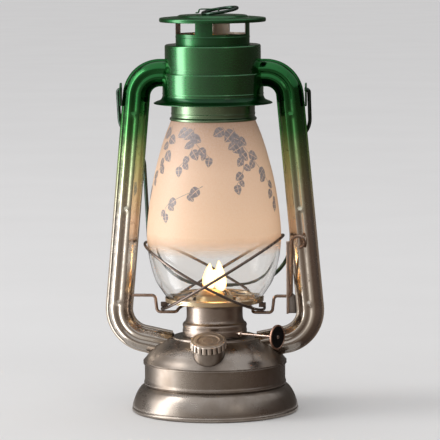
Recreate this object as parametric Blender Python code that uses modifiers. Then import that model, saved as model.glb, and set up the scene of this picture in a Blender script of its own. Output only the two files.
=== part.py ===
"""Hurricane lamp: a tubular lantern for lamp oil, with a lift lever, a bail and a vented hood.

Metres, +Z up. The origin is on the lamp's axis at the bottom of the foot. The two side tubes lie
in the XZ plane, the filler cap is at the front (-Y) and the thumb lever is at the right (+X).
"""
import math

import bmesh
import bpy
from mathutils import Matrix, Vector

# General values
gap = 0.0003                 # clearance between neighbouring pieces
sheet = 0.0008               # tinplate
overrun = 0.004              # how far a cutter runs past what it cuts
turn_steps = 24              # facets round every turned piece
merge = 0.00001
smooth_angle = math.radians(40)

# Foot and tank
foot_r = 0.0652              # widest radius of the foot skirt
foot_h = 0.0204
foot_land = 0.0030           # width of the flat ring that stands on the table
tank_r = 0.0550
tank_wall_h = 0.0186
tank_bead = 0.0007
pan_z = 0.0140               # underside of the recessed tank floor
pan_lap = 0.0020             # how far the floor's rim goes up inside the wall
dome_h = 0.0190              # from the wall's top to the flat ring round the burner
ring_r = 0.0328              # that ring's outer radius
seam_h = 0.0022              # seam where the dome's edge folds over the wall
collar_r = 0.0229            # outer radius of the burner collar in the dome

# Filler
filler_radius = 0.0440       # distance of the filler's axis from the lamp's axis at the dome
filler_rise = 0.0107         # height of that point over the tank's wall
filler_tilt = math.radians(20)
neck_r = 0.0118
neck_top = 0.0104            # heights here are along the filler's axis
neck_root = 0.0060
cap_r = 0.0140
cap_bottom = 0.0064
cap_top = 0.0124
flute_count = 20
flute_r = 0.0011

# Burner
burner_neck_r = 0.0220
burner_bulge_r = 0.0253
burner_h = 0.0238
shaft_rise = 0.0028          # height of the wick shaft over the burner's foot
shaft_turn = math.radians(-30)
shaft_offset = 0.0050        # how far the shaft passes in front of the wick
shaft_r = 0.0012
shaft_tail = 0.0100
knob_reach = 0.0630
knob_r = 0.0096
knob_t = 0.0018
wheel_places = (-0.0060, 0.0060)
wheel_t = 0.0012
wheel_teeth = 8
wick_w = 0.0220
wick_t = 0.0026
wick_rise = 0.0018           # how far the wick stands out of its tube
wick_length = 0.0650
wick_tube_rise = 0.0125      # how far the wick tube stands over the gallery
wick_tube_drop = 0.0030      # and how far it reaches below the burner's base
wick_tube_wall = 0.0006
base_depth = 0.0033          # how deep in the collar the disc under the burner lies
gallery_depth = 0.0040       # how deep in the burner the perforated disc lies
cone_r = 0.0158
cone_rise = 0.0160           # height of the cone's top over that disc
cone_slot_w = 0.0255
cone_slot_t = 0.0062
vent_count = 10
vent_r = 0.0015

# Globe, its plate and its guard
plate_r = 0.0386
plate_rim_h = 0.0038
plate_bore_r = 0.0172
plate_slope = 0.0011
globe_t = 0.0022
globe_belly_r = 0.0522
globe_top_r = 0.0312
globe_h = 0.1465
guard_wire_r = 0.0011
guard_half_y = 0.0500
guard_a_high = (-0.0540, 0.0469)      # each loop's high and low ends: x, and height over the plate
guard_a_low = (0.0390, -0.0045)
guard_b_high = (0.0540, 0.0529)
guard_b_low = (-0.0410, -0.0045)
guard_points = 30
ear_clip_w = 0.0052
ear_clip_d = 0.0040

# Side tubes
tube_corner_x = 0.0583       # where the top run and the leg would meet
tube_foot_x = 0.0769         # where the leg and the bottom run would meet
tube_foot_rise = 0.0017      # height of that point over the dome's top
tube_slope = math.radians(12)
tube_lower_bend = 0.0240
tube_half_w = 0.0094
tube_half_d = 0.0090
tube_flange = 0.0013
tube_groove = 0.0009
tube_neck_r = 0.0064
tube_neck_in = 0.0022        # how far the neck goes in through the canopy's wall
tube_inner_end = 0.0280

# Canopy, chimney and hood
canopy_r = 0.0392
canopy_top_r = 0.0373
canopy_flare_r = 0.0463
canopy_drop = 0.0132         # height of the skirt's edge over the chimney collar's edge
canopy_flare_h = 0.0062
canopy_skirt_h = 0.0230
canopy_drum_h = 0.0220
canopy_lap = 0.0090
canopy_round = 0.0013
chimney_collar_r = 0.0325
chimney_lip_r = 0.0338
chimney_lip_h = 0.0023
chimney_lap = 0.0050         # how far the collar comes down over the globe's rim
chimney_collar_h = 0.0196
chimney_shoulder_h = 0.0022
drum_r = 0.0287
drum_rise = 0.0198           # how far the hood's drum stands over the canopy
window_h = 0.0103
window_drop = 0.0012         # from the drum's top down to its windows
window_half_angle = math.radians(31)
post_turn = math.radians(-8)
hood_r = 0.0414
hood_plateau_r = 0.0280
hood_plateau_h = 0.0020
hood_edge_h = 0.0034
spring_r = 0.0313
spring_wire_r = 0.0006
spring_turns = 4
spring_turn_points = 16

# Lift ring and its strap
ring_wire_r = 0.0010
ring_mean_r = 0.0135
ring_pivot_x = -0.0075
ring_tilt = math.radians(13)
strap_left = -0.0106
strap_right = 0.0050
strap_foot = 0.0024
strap_w = 0.0060
strap_rise = 0.0028
ring_points = 28

# Bail and its ears
bail_drop = 0.0130           # pivots below the tubes' top runs
bail_reach = 0.0588          # how far behind the axis its grip rests, clear of the globe and guard
bail_wire_r = 0.0015
bail_length = 0.1720
bail_in_x = 0.0570
bail_out_length = 0.0300     # how far a leg runs outside the tube
bail_in_length = 0.0600
bail_bend = 0.0440
bail_hook_bend = 0.0025
bail_knee_bend = 0.0200
ear_t = 0.0010
ear_half_w = 0.0046
ear_top_rise = 0.0050        # above the pivot
ear_drop = 0.0130            # below the pivot

# Lift lever
crank_wire_r = 0.0012
crank_pivot_rise = 0.0055    # heights here are over the globe plate
crank_arm_x = 0.0468
crank_low_x = 0.0452
crank_low_rise = -0.0075
crank_ring_r = 0.0300
crank_bend = 0.0030
crank_in_tube = 0.0020
lever_x = 0.0602
lever_top = (0.0618, -0.0120, 0.0494)
lever_loop_r = 0.0048
bracket_x = 0.0566
bracket_bottom_rise = -0.0081
bracket_top_rise = 0.0489
bracket_lip = 0.0030

# Values that follow from those above
tank_wall_z = foot_h + gap
tank_top_z = tank_wall_z + tank_wall_h
dome_top_z = tank_top_z + dome_h
filler_z = tank_top_z + filler_rise
collar_top_z = dome_top_z + gap + sheet
burner_z = collar_top_z + gap
burner_top_z = burner_z + burner_h
base_z = dome_top_z - base_depth
gallery_z = burner_top_z - gallery_depth
cone_top_z = gallery_z + cone_rise
shaft_z = burner_z + shaft_rise
wick_tube_top_z = gallery_z + wick_tube_rise
wick_tube_bottom_z = base_z - wick_tube_drop
wick_top_z = wick_tube_top_z + wick_rise
wick_tube_w = wick_w + 2 * (gap + wick_tube_wall)
wick_tube_d = wick_t + 2 * (gap + wick_tube_wall)
plate_z = burner_top_z + 2 * gap
plate_rim_z = plate_z + plate_slope
globe_z = plate_rim_z + sheet + gap
chimney_bottom_z = globe_z + globe_h - chimney_lap
chimney_shoulder_z = chimney_bottom_z + chimney_collar_h
canopy_bottom_z = chimney_bottom_z + canopy_drop
canopy_step_z = canopy_bottom_z + canopy_skirt_h
canopy_top_z = canopy_step_z + canopy_drum_h
drum_top_z = canopy_top_z + drum_rise
window_top_z = drum_top_z - window_drop
window_bottom_z = window_top_z - window_h
hood_z = drum_top_z + gap
hood_top_z = hood_z + sheet + hood_plateau_h
tube_top_z = canopy_step_z
tube_foot_z = dome_top_z + tube_foot_rise
leg_lean = math.atan2(tube_foot_x - tube_corner_x, tube_top_z - tube_foot_z)
neck_x = canopy_r + gap      # where the neck widens into the tube, just outside the canopy
tube_upper_bend = (tube_corner_x - neck_x - 3 * gap - sheet) / math.tan((math.pi / 2 - leg_lean) / 2)
bail_pivot_z = tube_top_z - bail_drop
bail_lean = math.asin(bail_reach / bail_length)
ear_low_x = tube_corner_x + (bail_drop + ear_drop) * math.tan(leg_lean)
ear_x = ear_low_x + (tube_half_w + tube_flange) / math.cos(leg_lean) + gap
bail_leg_x = ear_x + ear_t + 2 * gap + bail_wire_r
crank_pivot_z = plate_z + crank_pivot_rise
crank_low_z = plate_z + crank_low_rise
bracket_bottom_z = plate_z + bracket_bottom_rise
bracket_top_z = plate_z + bracket_top_rise
web_y = crank_wire_r + gap + sheet / 2
ring_pivot_z = hood_top_z + gap + ring_wire_r


def shares(rows, r, z, low_z):
    """Outline points from (radius share, height share) rows."""
    return [(r * a, low_z + z * b) for a, b in rows]


def leg_x(z):
    """Distance of a side tube's straight leg from the lamp's axis at height z."""
    return tube_corner_x + (tube_top_z - z) * math.tan(leg_lean)


def empty_scene():
    """Remove what the start file holds."""
    for item in list(bpy.data.objects):
        bpy.data.objects.remove(item, do_unlink=True)


def collection(name):
    group = bpy.data.collections.new(name)
    bpy.context.scene.collection.children.link(group)
    return group


def material(name, colour, roughness, metallic, alpha=1):
    made = bpy.data.materials.new(name)
    made.use_nodes = True
    shader = made.node_tree.nodes["Principled BSDF"]
    shader.inputs["Base Color"].default_value = (*colour, 1)
    shader.inputs["Roughness"].default_value = roughness
    shader.inputs["Metallic"].default_value = metallic
    shader.inputs["Alpha"].default_value = alpha
    made.diffuse_color = (*colour, alpha)
    return made


def place(item, look, parent=None):
    """Put a finished object in the lamp's collection, with its material."""
    parts.objects.link(item)
    item.data.materials.append(look)
    item.parent = parent
    return item


def guide(name, location, rotation):
    """An empty that carries pieces on one axis."""
    item = bpy.data.objects.new(name, None)
    parts.objects.link(item)
    item.location = location
    item.rotation_euler = rotation
    return item


def mesh_object(name, points, edges, faces):
    data = bpy.data.meshes.new(name)
    data.from_pydata(points, edges, faces)
    data.update()
    return bpy.data.objects.new(name, data)


def from_bmesh(name, build):
    """An object from a function that fills a bmesh."""
    form = bmesh.new()
    build(form)
    data = bpy.data.meshes.new(name)
    form.to_mesh(data)
    form.free()
    return bpy.data.objects.new(name, data)


def screw(item, steps=turn_steps):
    turn = item.modifiers.new("Turn", "SCREW")
    turn.axis = "Z"
    turn.angle = 2 * math.pi
    turn.steps = steps
    turn.render_steps = steps
    turn.use_merge_vertices = True
    turn.merge_threshold = merge
    turn.use_smooth_shade = True


def solidify(item, thickness=sheet):
    wall = item.modifiers.new("Wall", "SOLIDIFY")
    wall.thickness = thickness
    wall.offset = -1
    wall.use_even_offset = True


def turned_shell(name, outline, thickness=sheet, steps=turn_steps):
    """A sheet of even thickness turned round Z; the outline is its outer side, top to bottom."""
    points = [(r, 0, z) for r, z in outline]
    edges = [(i, i + 1) for i in range(len(points) - 1)]
    item = mesh_object(name, points, edges, [])
    screw(item, steps)
    solidify(item, thickness)
    return item


def turned_solid(name, outline, steps=turn_steps):
    """A turned solid from an outline whose ends lie on the axis, or that closes on itself."""
    points = [(r, 0, z) for r, z in outline]
    edges = [(i, i + 1) for i in range(len(points) - 1)]
    if outline[0][0] > 0:
        edges.append((len(points) - 1, 0))
    item = mesh_object(name, points, edges, [])
    screw(item, steps)
    return item


def ring_outline(inner_r, outer_r, low_z, high_z):
    """A rectangle's corners, down its outer side first."""
    return [(outer_r, high_z), (outer_r, low_z), (inner_r, low_z), (inner_r, high_z)]


def rod_outline(r, low_z, high_z):
    return [(0, high_z), (r, high_z), (r, low_z), (0, low_z)]


def wire(name, points, radius, sides=2, cyclic=False):
    """Round wire along points."""
    data = bpy.data.curves.new(name, "CURVE")
    data.dimensions = "3D"
    data.bevel_depth = radius
    data.bevel_resolution = sides
    data.use_fill_caps = not cyclic
    line = data.splines.new("POLY")
    line.points.add(len(points) - 1)
    for spot, place_at in zip(line.points, points):
        spot.co = (*place_at, 1)
    line.use_cyclic_u = cyclic
    return bpy.data.objects.new(name, data)


def rounded(corners, steps=4):
    """Points along straight runs whose corners, given as (point, radius), are rounded."""
    path = []
    for index, (spot, radius) in enumerate(corners):
        here = Vector(spot)
        if not radius:
            path.append(here)
            continue
        back = (Vector(corners[index - 1][0]) - here).normalized()
        ahead = (Vector(corners[index + 1][0]) - here).normalized()
        half = back.angle(ahead) / 2
        centre = here + (back + ahead).normalized() * (radius / math.sin(half))
        first = here + back * (radius / math.tan(half)) - centre
        last = here + ahead * (radius / math.tan(half)) - centre
        path += [centre + first.slerp(last, i / steps).normalized() * radius for i in range(steps + 1)]
    return path


def box(name, size, centre):
    def build(form):
        bmesh.ops.create_cube(form, size=1)
        bmesh.ops.scale(form, vec=size, verts=form.verts)
        bmesh.ops.translate(form, vec=centre, verts=form.verts)
    return from_bmesh(name, build)


def cylinders(name, spots, radius, low_z, high_z, sides=8):
    """Upright cylinders at the (x, y) spots, in one mesh."""
    def build(form):
        for x, y in spots:
            move = Matrix.Translation((x, y, (low_z + high_z) / 2))
            bmesh.ops.create_cone(form, cap_ends=True, segments=sides, radius1=radius, radius2=radius,
                                  depth=high_z - low_z, matrix=move)
    return from_bmesh(name, build)


def circle_spots(count, radius, phase=0):
    step = 2 * math.pi / count
    return [(radius * math.cos(phase + i * step), radius * math.sin(phase + i * step)) for i in range(count)]


def cutter(item, parent=None, location=(0, 0, 0), rotation=(0, 0, 0)):
    cutters.objects.link(item)
    item.parent = parent
    item.location = location
    item.rotation_euler = rotation
    item.display_type = "WIRE"
    item.hide_render = True
    return item


def cut(item, *tools):
    for tool in tools:
        step = item.modifiers.new("Cut", "BOOLEAN")
        step.operation = "DIFFERENCE"
        step.object = tool
        step.solver = "EXACT"


def outline_plate(name, points, thickness, holes=()):
    """A flat outline in its own XY plane, centred on it, with round holes given as (x, y, r, sides)."""
    data = bpy.data.curves.new(name, "CURVE")
    data.dimensions = "2D"
    data.fill_mode = "BOTH"
    data.extrude = thickness / 2
    rings = [points]
    for x, y, r, sides in holes:
        rings.append([(x + a, y + b) for a, b in circle_spots(sides, r)])
    for ring in rings:
        line = data.splines.new("POLY")
        line.points.add(len(ring) - 1)
        for spot, (a, b) in zip(line.points, ring):
            spot.co = (a, b, 0, 1)
        line.use_cyclic_u = True
    return bpy.data.objects.new(name, data)


def sheet_strip(name, rows, thickness=sheet):
    """A sheet through rows of points, all rows alike in count."""
    count = len(rows[0])
    points = [spot for row in rows for spot in row]
    faces = []
    for r in range(len(rows) - 1):
        for c in range(count - 1):
            low = r * count + c
            faces.append((low, low + 1, low + count + 1, low + count))
    item = mesh_object(name, points, [], faces)
    item.data.shade_smooth()
    item.data.set_sharp_from_angle(angle=smooth_angle)
    solidify(item, thickness)
    return item


def loft(name, rings):
    """A solid through closed rings of points, all alike in count, with both ends capped."""
    count = len(rings[0])
    points = [spot for ring in rings for spot in ring]
    faces = []
    for r in range(len(rings) - 1):
        for c in range(count):
            low = r * count
            nxt = (c + 1) % count
            faces.append((low + c, low + nxt, low + count + nxt, low + count + c))
    last = (len(rings) - 1) * count
    faces.append(tuple(reversed(range(count))))
    faces.append(tuple(range(last, last + count)))
    item = mesh_object(name, points, [], faces)
    item.data.shade_smooth()
    item.data.set_sharp_from_angle(angle=smooth_angle)
    return item


def foot():
    """Flared skirt whose edge turns in to a flat ring, under the tank."""
    flare_shares = ((0, 1), (0.30, 0.90), (0.58, 0.71), (0.81, 0.43), (0.95, 0.19), (1, 0.06), (0.95, 0))
    spread = foot_r - tank_r
    outline = [(tank_r + spread * a, foot_h * b) for a, b in flare_shares]
    outline.append((foot_r - foot_land, 0))
    place(turned_shell("foot_skirt", outline), tin)


def tank():
    """Wall, recessed floor and domed top of the fuel tank."""
    wall = [(tank_r, tank_top_z), (tank_r, tank_wall_z + 4 * tank_bead),
            (tank_r + tank_bead, tank_wall_z + 3 * tank_bead),
            (tank_r + tank_bead, tank_wall_z + tank_bead), (tank_r, tank_wall_z)]
    place(turned_shell("tank_wall", wall), tin)
    pan_r = tank_r - sheet - gap
    pan = [(pan_r, tank_wall_z + pan_lap), (pan_r, pan_z + pan_lap), (pan_r - pan_lap, pan_z), (0, pan_z)]
    place(turned_shell("tank_floor", pan), tin)
    dome = place(turned_shell("tank_dome", dome_outline()), tin)
    cut(dome, neck_hole)


def dome_outline():
    """Outer side of the tank's top, from the burner's opening to the seam over the wall."""
    crown_shares = ((0.22, 0.84), (0.48, 0.65), (0.73, 0.37), (0.92, 0.09))
    seam_r = tank_r + gap + sheet
    points = [(collar_r + gap, dome_top_z), (ring_r - sheet, dome_top_z),
              (ring_r, dome_top_z - sheet), (ring_r, dome_top_z - 2 * sheet)]
    points += [(ring_r + (seam_r - ring_r) * a, tank_top_z + dome_h * b) for a, b in crown_shares]
    points += [(seam_r, tank_top_z + gap + sheet), (seam_r, tank_top_z - seam_h)]
    return points


def filler():
    """Neck, cap with a fluted skirt and the gasket inside it, on the tilted axis."""
    neck = [(neck_r, neck_top), (neck_r, -neck_root)]
    place(turned_shell("filler_neck", neck), tin, filler_axis)
    cap_shares = ((0, 0.92), (0.55, 0.92), (0.60, 1), (0.93, 1), (1, 0.86), (1, 0))
    cap = turned_shell("filler_cap", shares(cap_shares, cap_r, cap_top - cap_bottom, cap_bottom))
    spots = circle_spots(flute_count, cap_r + flute_r / 2)
    flutes = cylinders("flutes", spots, flute_r, cap_bottom - overrun, cap_top - 2 * sheet, 6)
    cut(place(cap, cap_metal, filler_axis), cutter(flutes, filler_axis))
    inside_r = cap_r - sheet - gap
    washer = ring_outline(neck_r - 2 * sheet, inside_r, neck_top + gap, cap_top - sheet - gap)
    place(turned_solid("filler_gasket", washer, 24), rubber, filler_axis)


def burner():
    """Collar, base, body, perforated gallery and slotted flame cone."""
    lip_r = collar_r + 2 * sheet
    bore_r = collar_r - sheet
    ring = [(lip_r, collar_top_z), (lip_r, dome_top_z + gap), (collar_r, dome_top_z + gap),
            (collar_r, base_z - 2 * sheet), (bore_r, base_z - 2 * sheet), (bore_r, collar_top_z)]
    place(turned_solid("burner_collar", ring), tin)
    slot_size = (wick_tube_w + 2 * gap, wick_tube_d + 2 * gap, burner_h)
    base = turned_solid("burner_base", rod_outline(bore_r - gap, base_z, base_z + sheet))
    cut(place(base, tin), cutter(box("base_slot", slot_size, (0, 0, base_z)), wick_axis))
    body_shares = ((0.42, 1), (0.03, 0.885), (0, 0.53), (0.42, 0.40), (1, 0.30), (0.79, 0.20),
                   (1, 0.10), (0.85, 0))
    swell = burner_bulge_r - burner_neck_r
    outline = [(burner_neck_r + swell * a, burner_z + burner_h * b) for a, b in body_shares]
    body = place(turned_shell("burner_body", outline), tin)
    hole_start = burner_neck_r - 4 * overrun
    hole = cylinders("shaft_hole", [(0, 0)], shaft_r + gap, hole_start, burner_bulge_r + overrun)
    cut(body, cutter(hole, shaft_axis))
    gallery_r = burner_neck_r - sheet - gap
    gallery = turned_solid("burner_gallery", rod_outline(gallery_r, gallery_z, gallery_z + sheet))
    vent_circle = (cone_r + gallery_r) / 2
    vents = cylinders("gallery_vents", circle_spots(vent_count, vent_circle), vent_r,
                      gallery_z - overrun, gallery_z + overrun, 6)
    slot = cutter(box("gallery_slot", slot_size, (0, 0, gallery_z)), wick_axis)
    cut(place(gallery, brass), slot, cutter(vents))
    cone_shares = ((0, 1), (0.57, 0.93), (0.86, 0.74), (0.98, 0.42), (1, 0))
    cone_z = gallery_z + sheet + gap
    cone_h = cone_top_z - cone_z
    cone = turned_shell("burner_cone", shares(cone_shares, cone_r, cone_h, cone_z))
    slot = box("cone_slot", (cone_slot_w, cone_slot_t, cone_h), (0, 0, cone_top_z))
    cut(place(cone, brass), cutter(slot, wick_axis))


def wick_drive():
    """Flat wick in its tube, and the shaft with two toothed wheels and the knob that raise it."""
    tube_h = wick_tube_top_z - wick_tube_bottom_z
    centre_z = (wick_tube_top_z + wick_tube_bottom_z) / 2
    sleeve = box("wick_tube", (wick_tube_w, wick_tube_d, tube_h), (0, 0, centre_z))
    bore = (wick_w + 2 * gap, wick_t + 2 * gap, tube_h + overrun)
    tools = [cutter(box("wick_bore", bore, (0, 0, centre_z)), wick_axis)]
    wheel_r = shaft_offset - wick_t / 2 - gap
    slot_h = 2 * math.sqrt(wheel_r ** 2 - (shaft_offset - wick_tube_d / 2) ** 2) + 4 * gap
    for index, spot in enumerate(wheel_places):
        window = box(f"wheel_window_{index}", (wheel_t + 4 * gap, wick_tube_d / 2, slot_h),
                     (spot, -wick_tube_d / 2, shaft_z))
        tools.append(cutter(window, wick_axis))
    cut(place(sleeve, brass, wick_axis), *tools)
    wick = box("wick", (wick_w, wick_t, wick_length), (0, 0, wick_top_z - wick_length / 2))
    place(wick, cloth, wick_axis)
    shaft = turned_solid("wick_shaft", rod_outline(shaft_r, -shaft_tail, knob_reach + knob_t / 2), 12)
    place(shaft, steel, shaft_axis)
    root_share = 0.76
    tooth = math.pi / wheel_teeth
    star = [(wheel_r * math.cos(i * tooth) * (root_share if i % 2 else 1),
             wheel_r * math.sin(i * tooth) * (root_share if i % 2 else 1)) for i in range(2 * wheel_teeth)]
    for name, spot in zip(("wick_wheel_a", "wick_wheel_b"), wheel_places):
        wheel = outline_plate(name, star, wheel_t, [(0, 0, shaft_r + gap, 10)])
        place(wheel, brass, shaft_axis).location = (0, 0, spot)
    face = knob_reach + knob_t / 2
    edge = knob_t / 4
    bore_r = shaft_r + gap
    knob = [(knob_r - edge, face), (knob_r, face - edge), (knob_r, face - knob_t + edge),
            (knob_r - edge, face - knob_t), (bore_r, face - knob_t), (bore_r, face)]
    place(turned_solid("wick_knob", knob), copper, shaft_axis)


def globe_carrier():
    """Perforated plate, glass globe and the two crossed guard wires with their clips."""
    seat_r = burner_neck_r + 2 * sheet
    outline = [(plate_r, plate_rim_z + plate_rim_h), (plate_r, plate_rim_z), (seat_r + 2 * sheet, plate_z),
               (seat_r - sheet, plate_z), (plate_bore_r + 4 * sheet, plate_z + 3 * sheet),
               (plate_bore_r, plate_z + 4 * sheet)]
    plate = place(turned_shell("globe_plate", outline), tin)
    vents = cylinders("plate_vents", circle_spots(vent_count, (seat_r + plate_r) / 2), vent_r,
                      plate_z - overrun, plate_rim_z + overrun, 6)
    cut(plate, cutter(vents))
    belly_shares = ((0, 1), (0.01, 0.982), (0.06, 0.969), (0.13, 0.942), (0.35, 0.857), (0.576, 0.747),
                    (0.81, 0.60), (0.957, 0.447), (1, 0.344), (0.93, 0.235), (0.728, 0.119),
                    (0.47, 0.06), (0.28, 0.03), (0.257, 0))
    swell = globe_belly_r - globe_top_r
    glass_outline = [(globe_top_r + swell * a, globe_z + globe_h * b) for a, b in belly_shares]
    place(turned_shell("globe", glass_outline, globe_t), glass)
    guard_b_half_y = guard_half_y + 2 * guard_wire_r + 3 * gap
    loops = (("guard_wire_a", guard_a_high, guard_a_low, guard_half_y),
             ("guard_wire_b", guard_b_high, guard_b_low, guard_b_half_y))
    for name, high, low, half_y in loops:
        centre = ((high[0] + low[0]) / 2, (high[1] + low[1]) / 2)
        turns = [2 * math.pi * i / guard_points for i in range(guard_points)]
        points = [(centre[0] + (high[0] - centre[0]) * math.cos(t), half_y * math.sin(t),
                   plate_z + centre[1] + (high[1] - centre[1]) * math.cos(t)) for t in turns]
        place(wire(name, points, guard_wire_r, 1, cyclic=True), steel)
        side = 1 if low[0] > 0 else -1
        clip_name = "guard_clip_right" if side > 0 else "guard_clip_left"
        low_z = plate_z + low[1] + guard_wire_r + gap
        high_z = plate_z + plate_slope / 2 - gap
        clip_x = low[0] - side * (ear_clip_w / 2 - guard_wire_r)
        clip = box(clip_name, (ear_clip_w, ear_clip_d, high_z - low_z), (clip_x, 0, (high_z + low_z) / 2))
        place(clip, steel)


def tube_stations():
    """Points along the right tube's centre line, each with its outer and inner section sizes:
    0 is the neck in the canopy and 1 is the tube."""
    end_z = tube_foot_z - (tube_foot_x - tube_inner_end) * math.tan(tube_slope)
    start_x = neck_x + gap + sheet
    corners = [((start_x, 0, tube_top_z), 0), ((tube_corner_x, 0, tube_top_z), tube_upper_bend),
               ((tube_foot_x, 0, tube_foot_z), tube_lower_bend), ((tube_inner_end, 0, end_z), 0)]
    necks = [(neck_x - tube_neck_in, 0, 0), (neck_x, 0, 0), (neck_x + gap, 1, 0)]
    stations = [(Vector((x, 0, tube_top_z)), outer, inner) for x, outer, inner in necks]
    return stations + [(spot, 1, 1) for spot in rounded(corners, 6)]


def tube_section(outer, inner):
    """(outward, forward) points of half a tube: its outer side from one seam flange round the front
    to the other, then back along its inner side."""
    points = []
    for size, wall, turn in ((outer, 0, 1), (inner, sheet, -1)):
        half_w = tube_neck_r + (tube_half_w - tube_neck_r) * size - wall
        half_d = tube_neck_r + (tube_half_d - tube_neck_r) * size - wall
        tip = tube_neck_r + sheet / 2 + (tube_half_w + tube_flange - tube_neck_r - sheet / 2) * outer
        lift = gap / 2 + sheet - wall
        side = [(tip, lift), (half_w, lift)]
        for degrees in (15, 47, 77, 90, 103, 133, 165):
            angle = math.radians(degrees)
            groove = tube_groove * size if degrees == 90 else 0
            side.append((half_w * math.cos(angle), half_d * math.sin(angle) - groove))
        side += [(-half_w, lift), (-tip, lift)]
        points += side[::turn]
    return points


def side_tubes():
    """Each side tube is a front and a rear pressing, joined along two seam flanges."""
    saddle_top_z = dome_top_z + tube_half_w + 4 * overrun
    saddle = [(0, saddle_top_z), (ring_r + gap, saddle_top_z)]
    saddle += [(r + gap, z + gap) for r, z in dome_outline()[3:]]
    saddle += [(tank_r + gap, 0), (0, 0)]
    seat = cutter(turned_solid("tube_seat", saddle))
    hole_x = leg_x(crank_pivot_z) - tube_half_w
    crank_hole = cylinders("crank_hole", [(0, 0)], crank_wire_r + gap, hole_x - overrun, hole_x + overrun)
    cutter(crank_hole, None, (0, 0, crank_pivot_z), (0, math.radians(-90), 0))
    stations = tube_stations()
    for side, side_name in ((-1, "left"), (1, "right")):
        for facing, face_name in ((-1, "rear"), (1, "front")):
            rings = []
            for index, (spot, outer, inner) in enumerate(stations):
                before = stations[max(index - 1, 0)][0]
                after = stations[min(index + 1, len(stations) - 1)][0]
                along = (after - before).normalized()
                outward = Vector((-along.z, 0, along.x))
                ring = []
                for out, front in tube_section(outer, inner):
                    point = spot + outward * out
                    ring.append((point.x * side, -front * facing, point.z))
                rings.append(ring if side * facing > 0 else ring[::-1])
            half = place(loft(f"tube_{side_name}_{face_name}", rings), tube_metal)
            cut(half, seat)
            if side < 0:
                cut(half, crank_hole)


def canopy():
    """Air chamber at the top: drum, skirt with a flared edge, and floor."""
    drum = [(drum_r + 2 * gap, canopy_top_z), (canopy_top_r - canopy_round, canopy_top_z),
            (canopy_top_r, canopy_top_z - canopy_round), (canopy_top_r, canopy_step_z - canopy_lap)]
    upper = place(turned_shell("canopy_drum", drum), green)
    flare_z = canopy_bottom_z + canopy_flare_h
    flare_shares = ((0, 1), (0.22, 0.55), (1, 0))
    flare = [(canopy_r + (canopy_flare_r - canopy_r) * a, canopy_bottom_z + canopy_flare_h * b)
             for a, b in flare_shares]
    skirt = [(canopy_top_r + gap, canopy_step_z + gap), (canopy_r - sheet, canopy_step_z),
             (canopy_r, canopy_step_z - sheet)] + flare
    lower = place(turned_shell("canopy_skirt", skirt), green)
    neck_reach = math.hypot(tube_neck_r + sheet / 2, sheet + gap / 2) + gap
    for side in (-1, 1):
        hole = cylinders(f"neck_hole_{side}", [(0, 0)], neck_reach, canopy_top_r - 2 * overrun,
                         canopy_r + overrun, 16)
        cutter(hole, None, (0, 0, tube_top_z), (0, math.radians(90) * side, 0))
        cut(upper, hole)
        cut(lower, hole)
    floor = ring_outline(chimney_lip_r + 2 * gap, canopy_r - sheet - gap, flare_z, flare_z + sheet)
    place(turned_solid("canopy_floor", floor), green)


def chimney_and_hood():
    """Collar that seats on the globe, drum, band with four windows, rain cap and the spring round them."""
    neck_out = drum_r + gap + sheet
    neck_z = chimney_shoulder_z + chimney_shoulder_h
    collar = [(neck_out, neck_z + 2 * sheet), (neck_out, neck_z), (chimney_collar_r, chimney_shoulder_z),
              (chimney_collar_r, chimney_bottom_z + chimney_lip_h), (chimney_lip_r, chimney_bottom_z)]
    place(turned_shell("chimney_collar", collar), green)
    place(turned_shell("hood_drum", [(drum_r, window_bottom_z - gap), (drum_r, neck_z)]), green)
    band = place(turned_shell("vent_band", [(drum_r, drum_top_z), (drum_r, window_bottom_z)]), green)
    window_w = 2 * drum_r * math.sin(window_half_angle)
    for index in range(2):
        size = (2 * drum_r + overrun, window_w, 2 * window_h)
        opening = cutter(box(f"windows_{index}", size, (0, 0, window_top_z - window_h)))
        opening.rotation_euler.z = post_turn + math.radians(45 + 90 * index)
        cut(band, opening)
    disc_z = hood_z + sheet
    cap = [(0, hood_top_z), (hood_plateau_r - hood_plateau_h, hood_top_z), (hood_plateau_r + sheet, disc_z),
           (hood_r - 2 * sheet, disc_z), (hood_r, disc_z - sheet), (hood_r, disc_z - hood_edge_h + sheet),
           (hood_r - sheet, disc_z - hood_edge_h)]
    place(turned_shell("hood_cap", cap), green)
    low_z = neck_z + spring_wire_r
    rise = canopy_top_z - sheet - gap - spring_wire_r - low_z
    count = spring_turns * spring_turn_points
    coil = []
    for i in range(count + 1):
        turn = 2 * math.pi * i / spring_turn_points
        coil.append((spring_r * math.cos(turn), spring_r * math.sin(turn), low_z + rise * i / count))
    place(wire("chimney_spring", coil, spring_wire_r, 1), steel)


def lift_ring():
    """Strap over the rain cap and the wire ring that turns under it."""
    foot_z = hood_top_z + gap + sheet
    top_z = foot_z + strap_rise
    bend = [(strap_left - strap_foot, foot_z), (strap_left, foot_z), (strap_left + sheet, top_z),
            (strap_right - sheet, top_z), (strap_right, foot_z), (strap_right + strap_foot, foot_z)]
    rows = [[(x, y, z) for x, z in bend] for y in (-strap_w / 2, strap_w / 2)]
    place(sheet_strip("ring_strap", rows), green)
    loop = [(ring_mean_r + x, y, 0) for x, y in circle_spots(ring_points, ring_mean_r)]
    ring = place(wire("lift_ring", loop, ring_wire_r, 1, cyclic=True), dark)
    ring.location = (ring_pivot_x, 0, ring_pivot_z)
    ring.rotation_euler.y = -ring_tilt


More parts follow.
